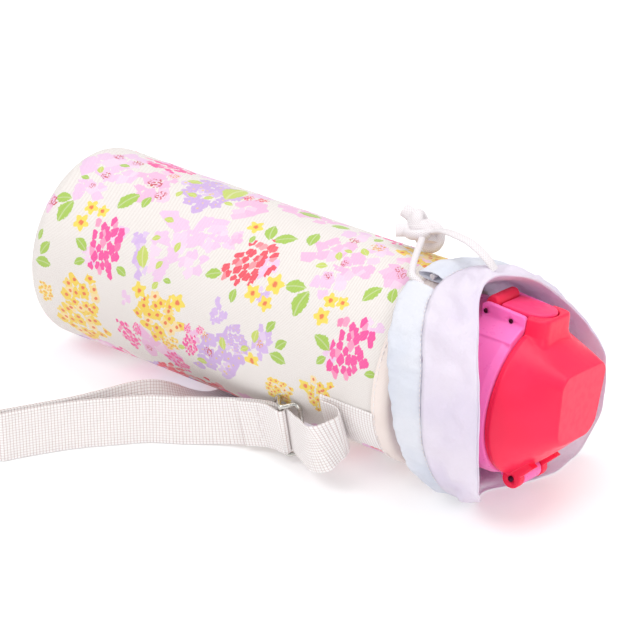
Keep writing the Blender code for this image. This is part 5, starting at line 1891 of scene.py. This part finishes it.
def upright(mesh, height):
    """Turns a block's outline from (x, z) to (x, y), and lifts it."""
    quarter = Matrix.Rotation(math.radians(90), 3, "X")
    bmesh.ops.rotate(mesh, cent=(0, 0, 0), matrix=quarter, verts=mesh.verts)
    bmesh.ops.translate(mesh, verts=mesh.verts, vec=(0, 0, height))
    return mesh


def build_lid():
    mesh = bmesh.new()
    rims = []
    for inset in (0.0, LID_WALL):
        rows = [[mesh.verts.new(place) for place in ring] for ring in lid_rings(inset)]
        for one, two in zip(rows, rows[1:]):
            bridge(mesh, one, two)
        mesh.faces.new(rows[-1])
        rims.append(rows[0])
    bridge(mesh, *rims)
    lid = make("flip_lid", mesh, LOOKS["lid"], "lid")
    rings = []
    for z, grow in ((0.0235, 0.0075), (0.0262, 0.0045), (0.0285, 0.0024), (0.0305, 0.0011),
                    (0.0330, 0.0003), (0.0396, 0.0), (0.0405, -0.0004), (0.0409, -0.0012)):
        half = LATCH_HALF_WIDTH - 0.0001 + grow
        front = 0.2606 + grow * 0.75
        plan = rounded([(CAP_RIM_X + 0.0008, -half), (front, -half * 0.97), (front, half * 0.97),
                        (CAP_RIM_X + 0.0008, half)], 0.0072, 10)[11:33]
        plan = [(CAP_RIM_X + 0.0008, -half)] + plan + [(CAP_RIM_X + 0.0008, half)]
        rings.append([(x, y, z) for x, y in plan])
    combine(lid, lofted(rings), "UNION")
    combine(lid, upright(block(pill(0.0006), -0.0060, 0.0060), 0.0405), "DIFFERENCE")
    combine(lid, rod(0.0060, -0.0076, 0.0076, HINGE_X, HINGE_Z, 48), "DIFFERENCE")
    ear = arc(HINGE_X, HINGE_Z, HINGE_EAR_R, 190, 385, 24)
    ear += [(0.2655, -0.0262), (0.2600, -0.0235), (0.2545, -0.0260), (0.2509, -0.0315)]
    for low, high in ((-0.0122, -0.0076), (0.0076, 0.0122)):
        combine(lid, block(ear, low, high), "UNION")
    moulded(lid, 6)
    combine(lid, rod(0.00142, -0.013, 0.013, HINGE_X, HINGE_Z, 24), "DIFFERENCE")
    lid.data.transform(ROLLED)
    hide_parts("lid_shell")
    lathe("lid_plug", [
        (0.2616, 0.0), (0.2616, 0.0140), (0.2632, 0.0150), (0.2650, 0.0150), (0.2655, 0.0080),
        (LID_END_X - 2 * LID_WALL, 0.0070), (LID_END_X - 2 * LID_WALL, 0.0),
    ], LOOKS["rubber"], "lid", ["lid_seal"], corner=0.0005)


def build_latch():
    top = upright(block(pill(0.0, 28), 0.0, 0.0030, 0.0007), 0.0386)
    hub = block(arc(LATCH_X, LATCH_Z, 0.0024, 180, 360, 20)
                + [(0.2470, 0.0390), (0.2392, 0.0390)], -0.0080, 0.0080, 0.0002)
    button = make("push_button", joined(top, hub), LOOKS["button"], "button", roll=True)
    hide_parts("latch_button")
    lever = rounded([
        (0.2272, 0.0362), (0.2282, 0.0418), (0.2300, 0.0440), (0.2328, 0.0440),
        (0.2345, 0.0418), (0.2346, 0.0368), (0.2322, 0.0348), (0.2290, 0.0350),
    ], 0.0010, 3)
    lock = make("safety_lock", block(lever, -0.0092, 0.0092, 0.0010, 4), LOOKS["lock"], "lock",
                roll=True)
    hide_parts("lock_lever")
    x, z = 0.2372, 0.0338
    coil = []
    for i in range(101):
        t = math.tau * i / 40
        coil.append((x + 0.0013 * math.cos(t), 0.0013 * math.sin(t), z + 0.0042 * i / 100))
    spring = make("latch_coil", sweep(coil, circle(0.0002, 10)), LOOKS["steel"], "cap", roll=True)
    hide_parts("latch_spring")
    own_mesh(spring)


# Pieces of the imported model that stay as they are, in better materials


def dress():
    for node, look in (("shell_foam", "foam"), ("base_foam", "foam"), ("lining", "film"),
                       ("lining_base", "film")):
        piece = bpy.data.objects[node]
        piece.data.materials.clear()
        piece.data.materials.append(LOOKS[look].material)


build_camera()
build_floor()
build_light()
build_shell()
build_base()
build_binding()
build_skirt()
build_channel()
build_cord_ends()
build_near_tab()
build_strap()
build_flask()
build_cap()
build_lid()
build_latch()
dress()
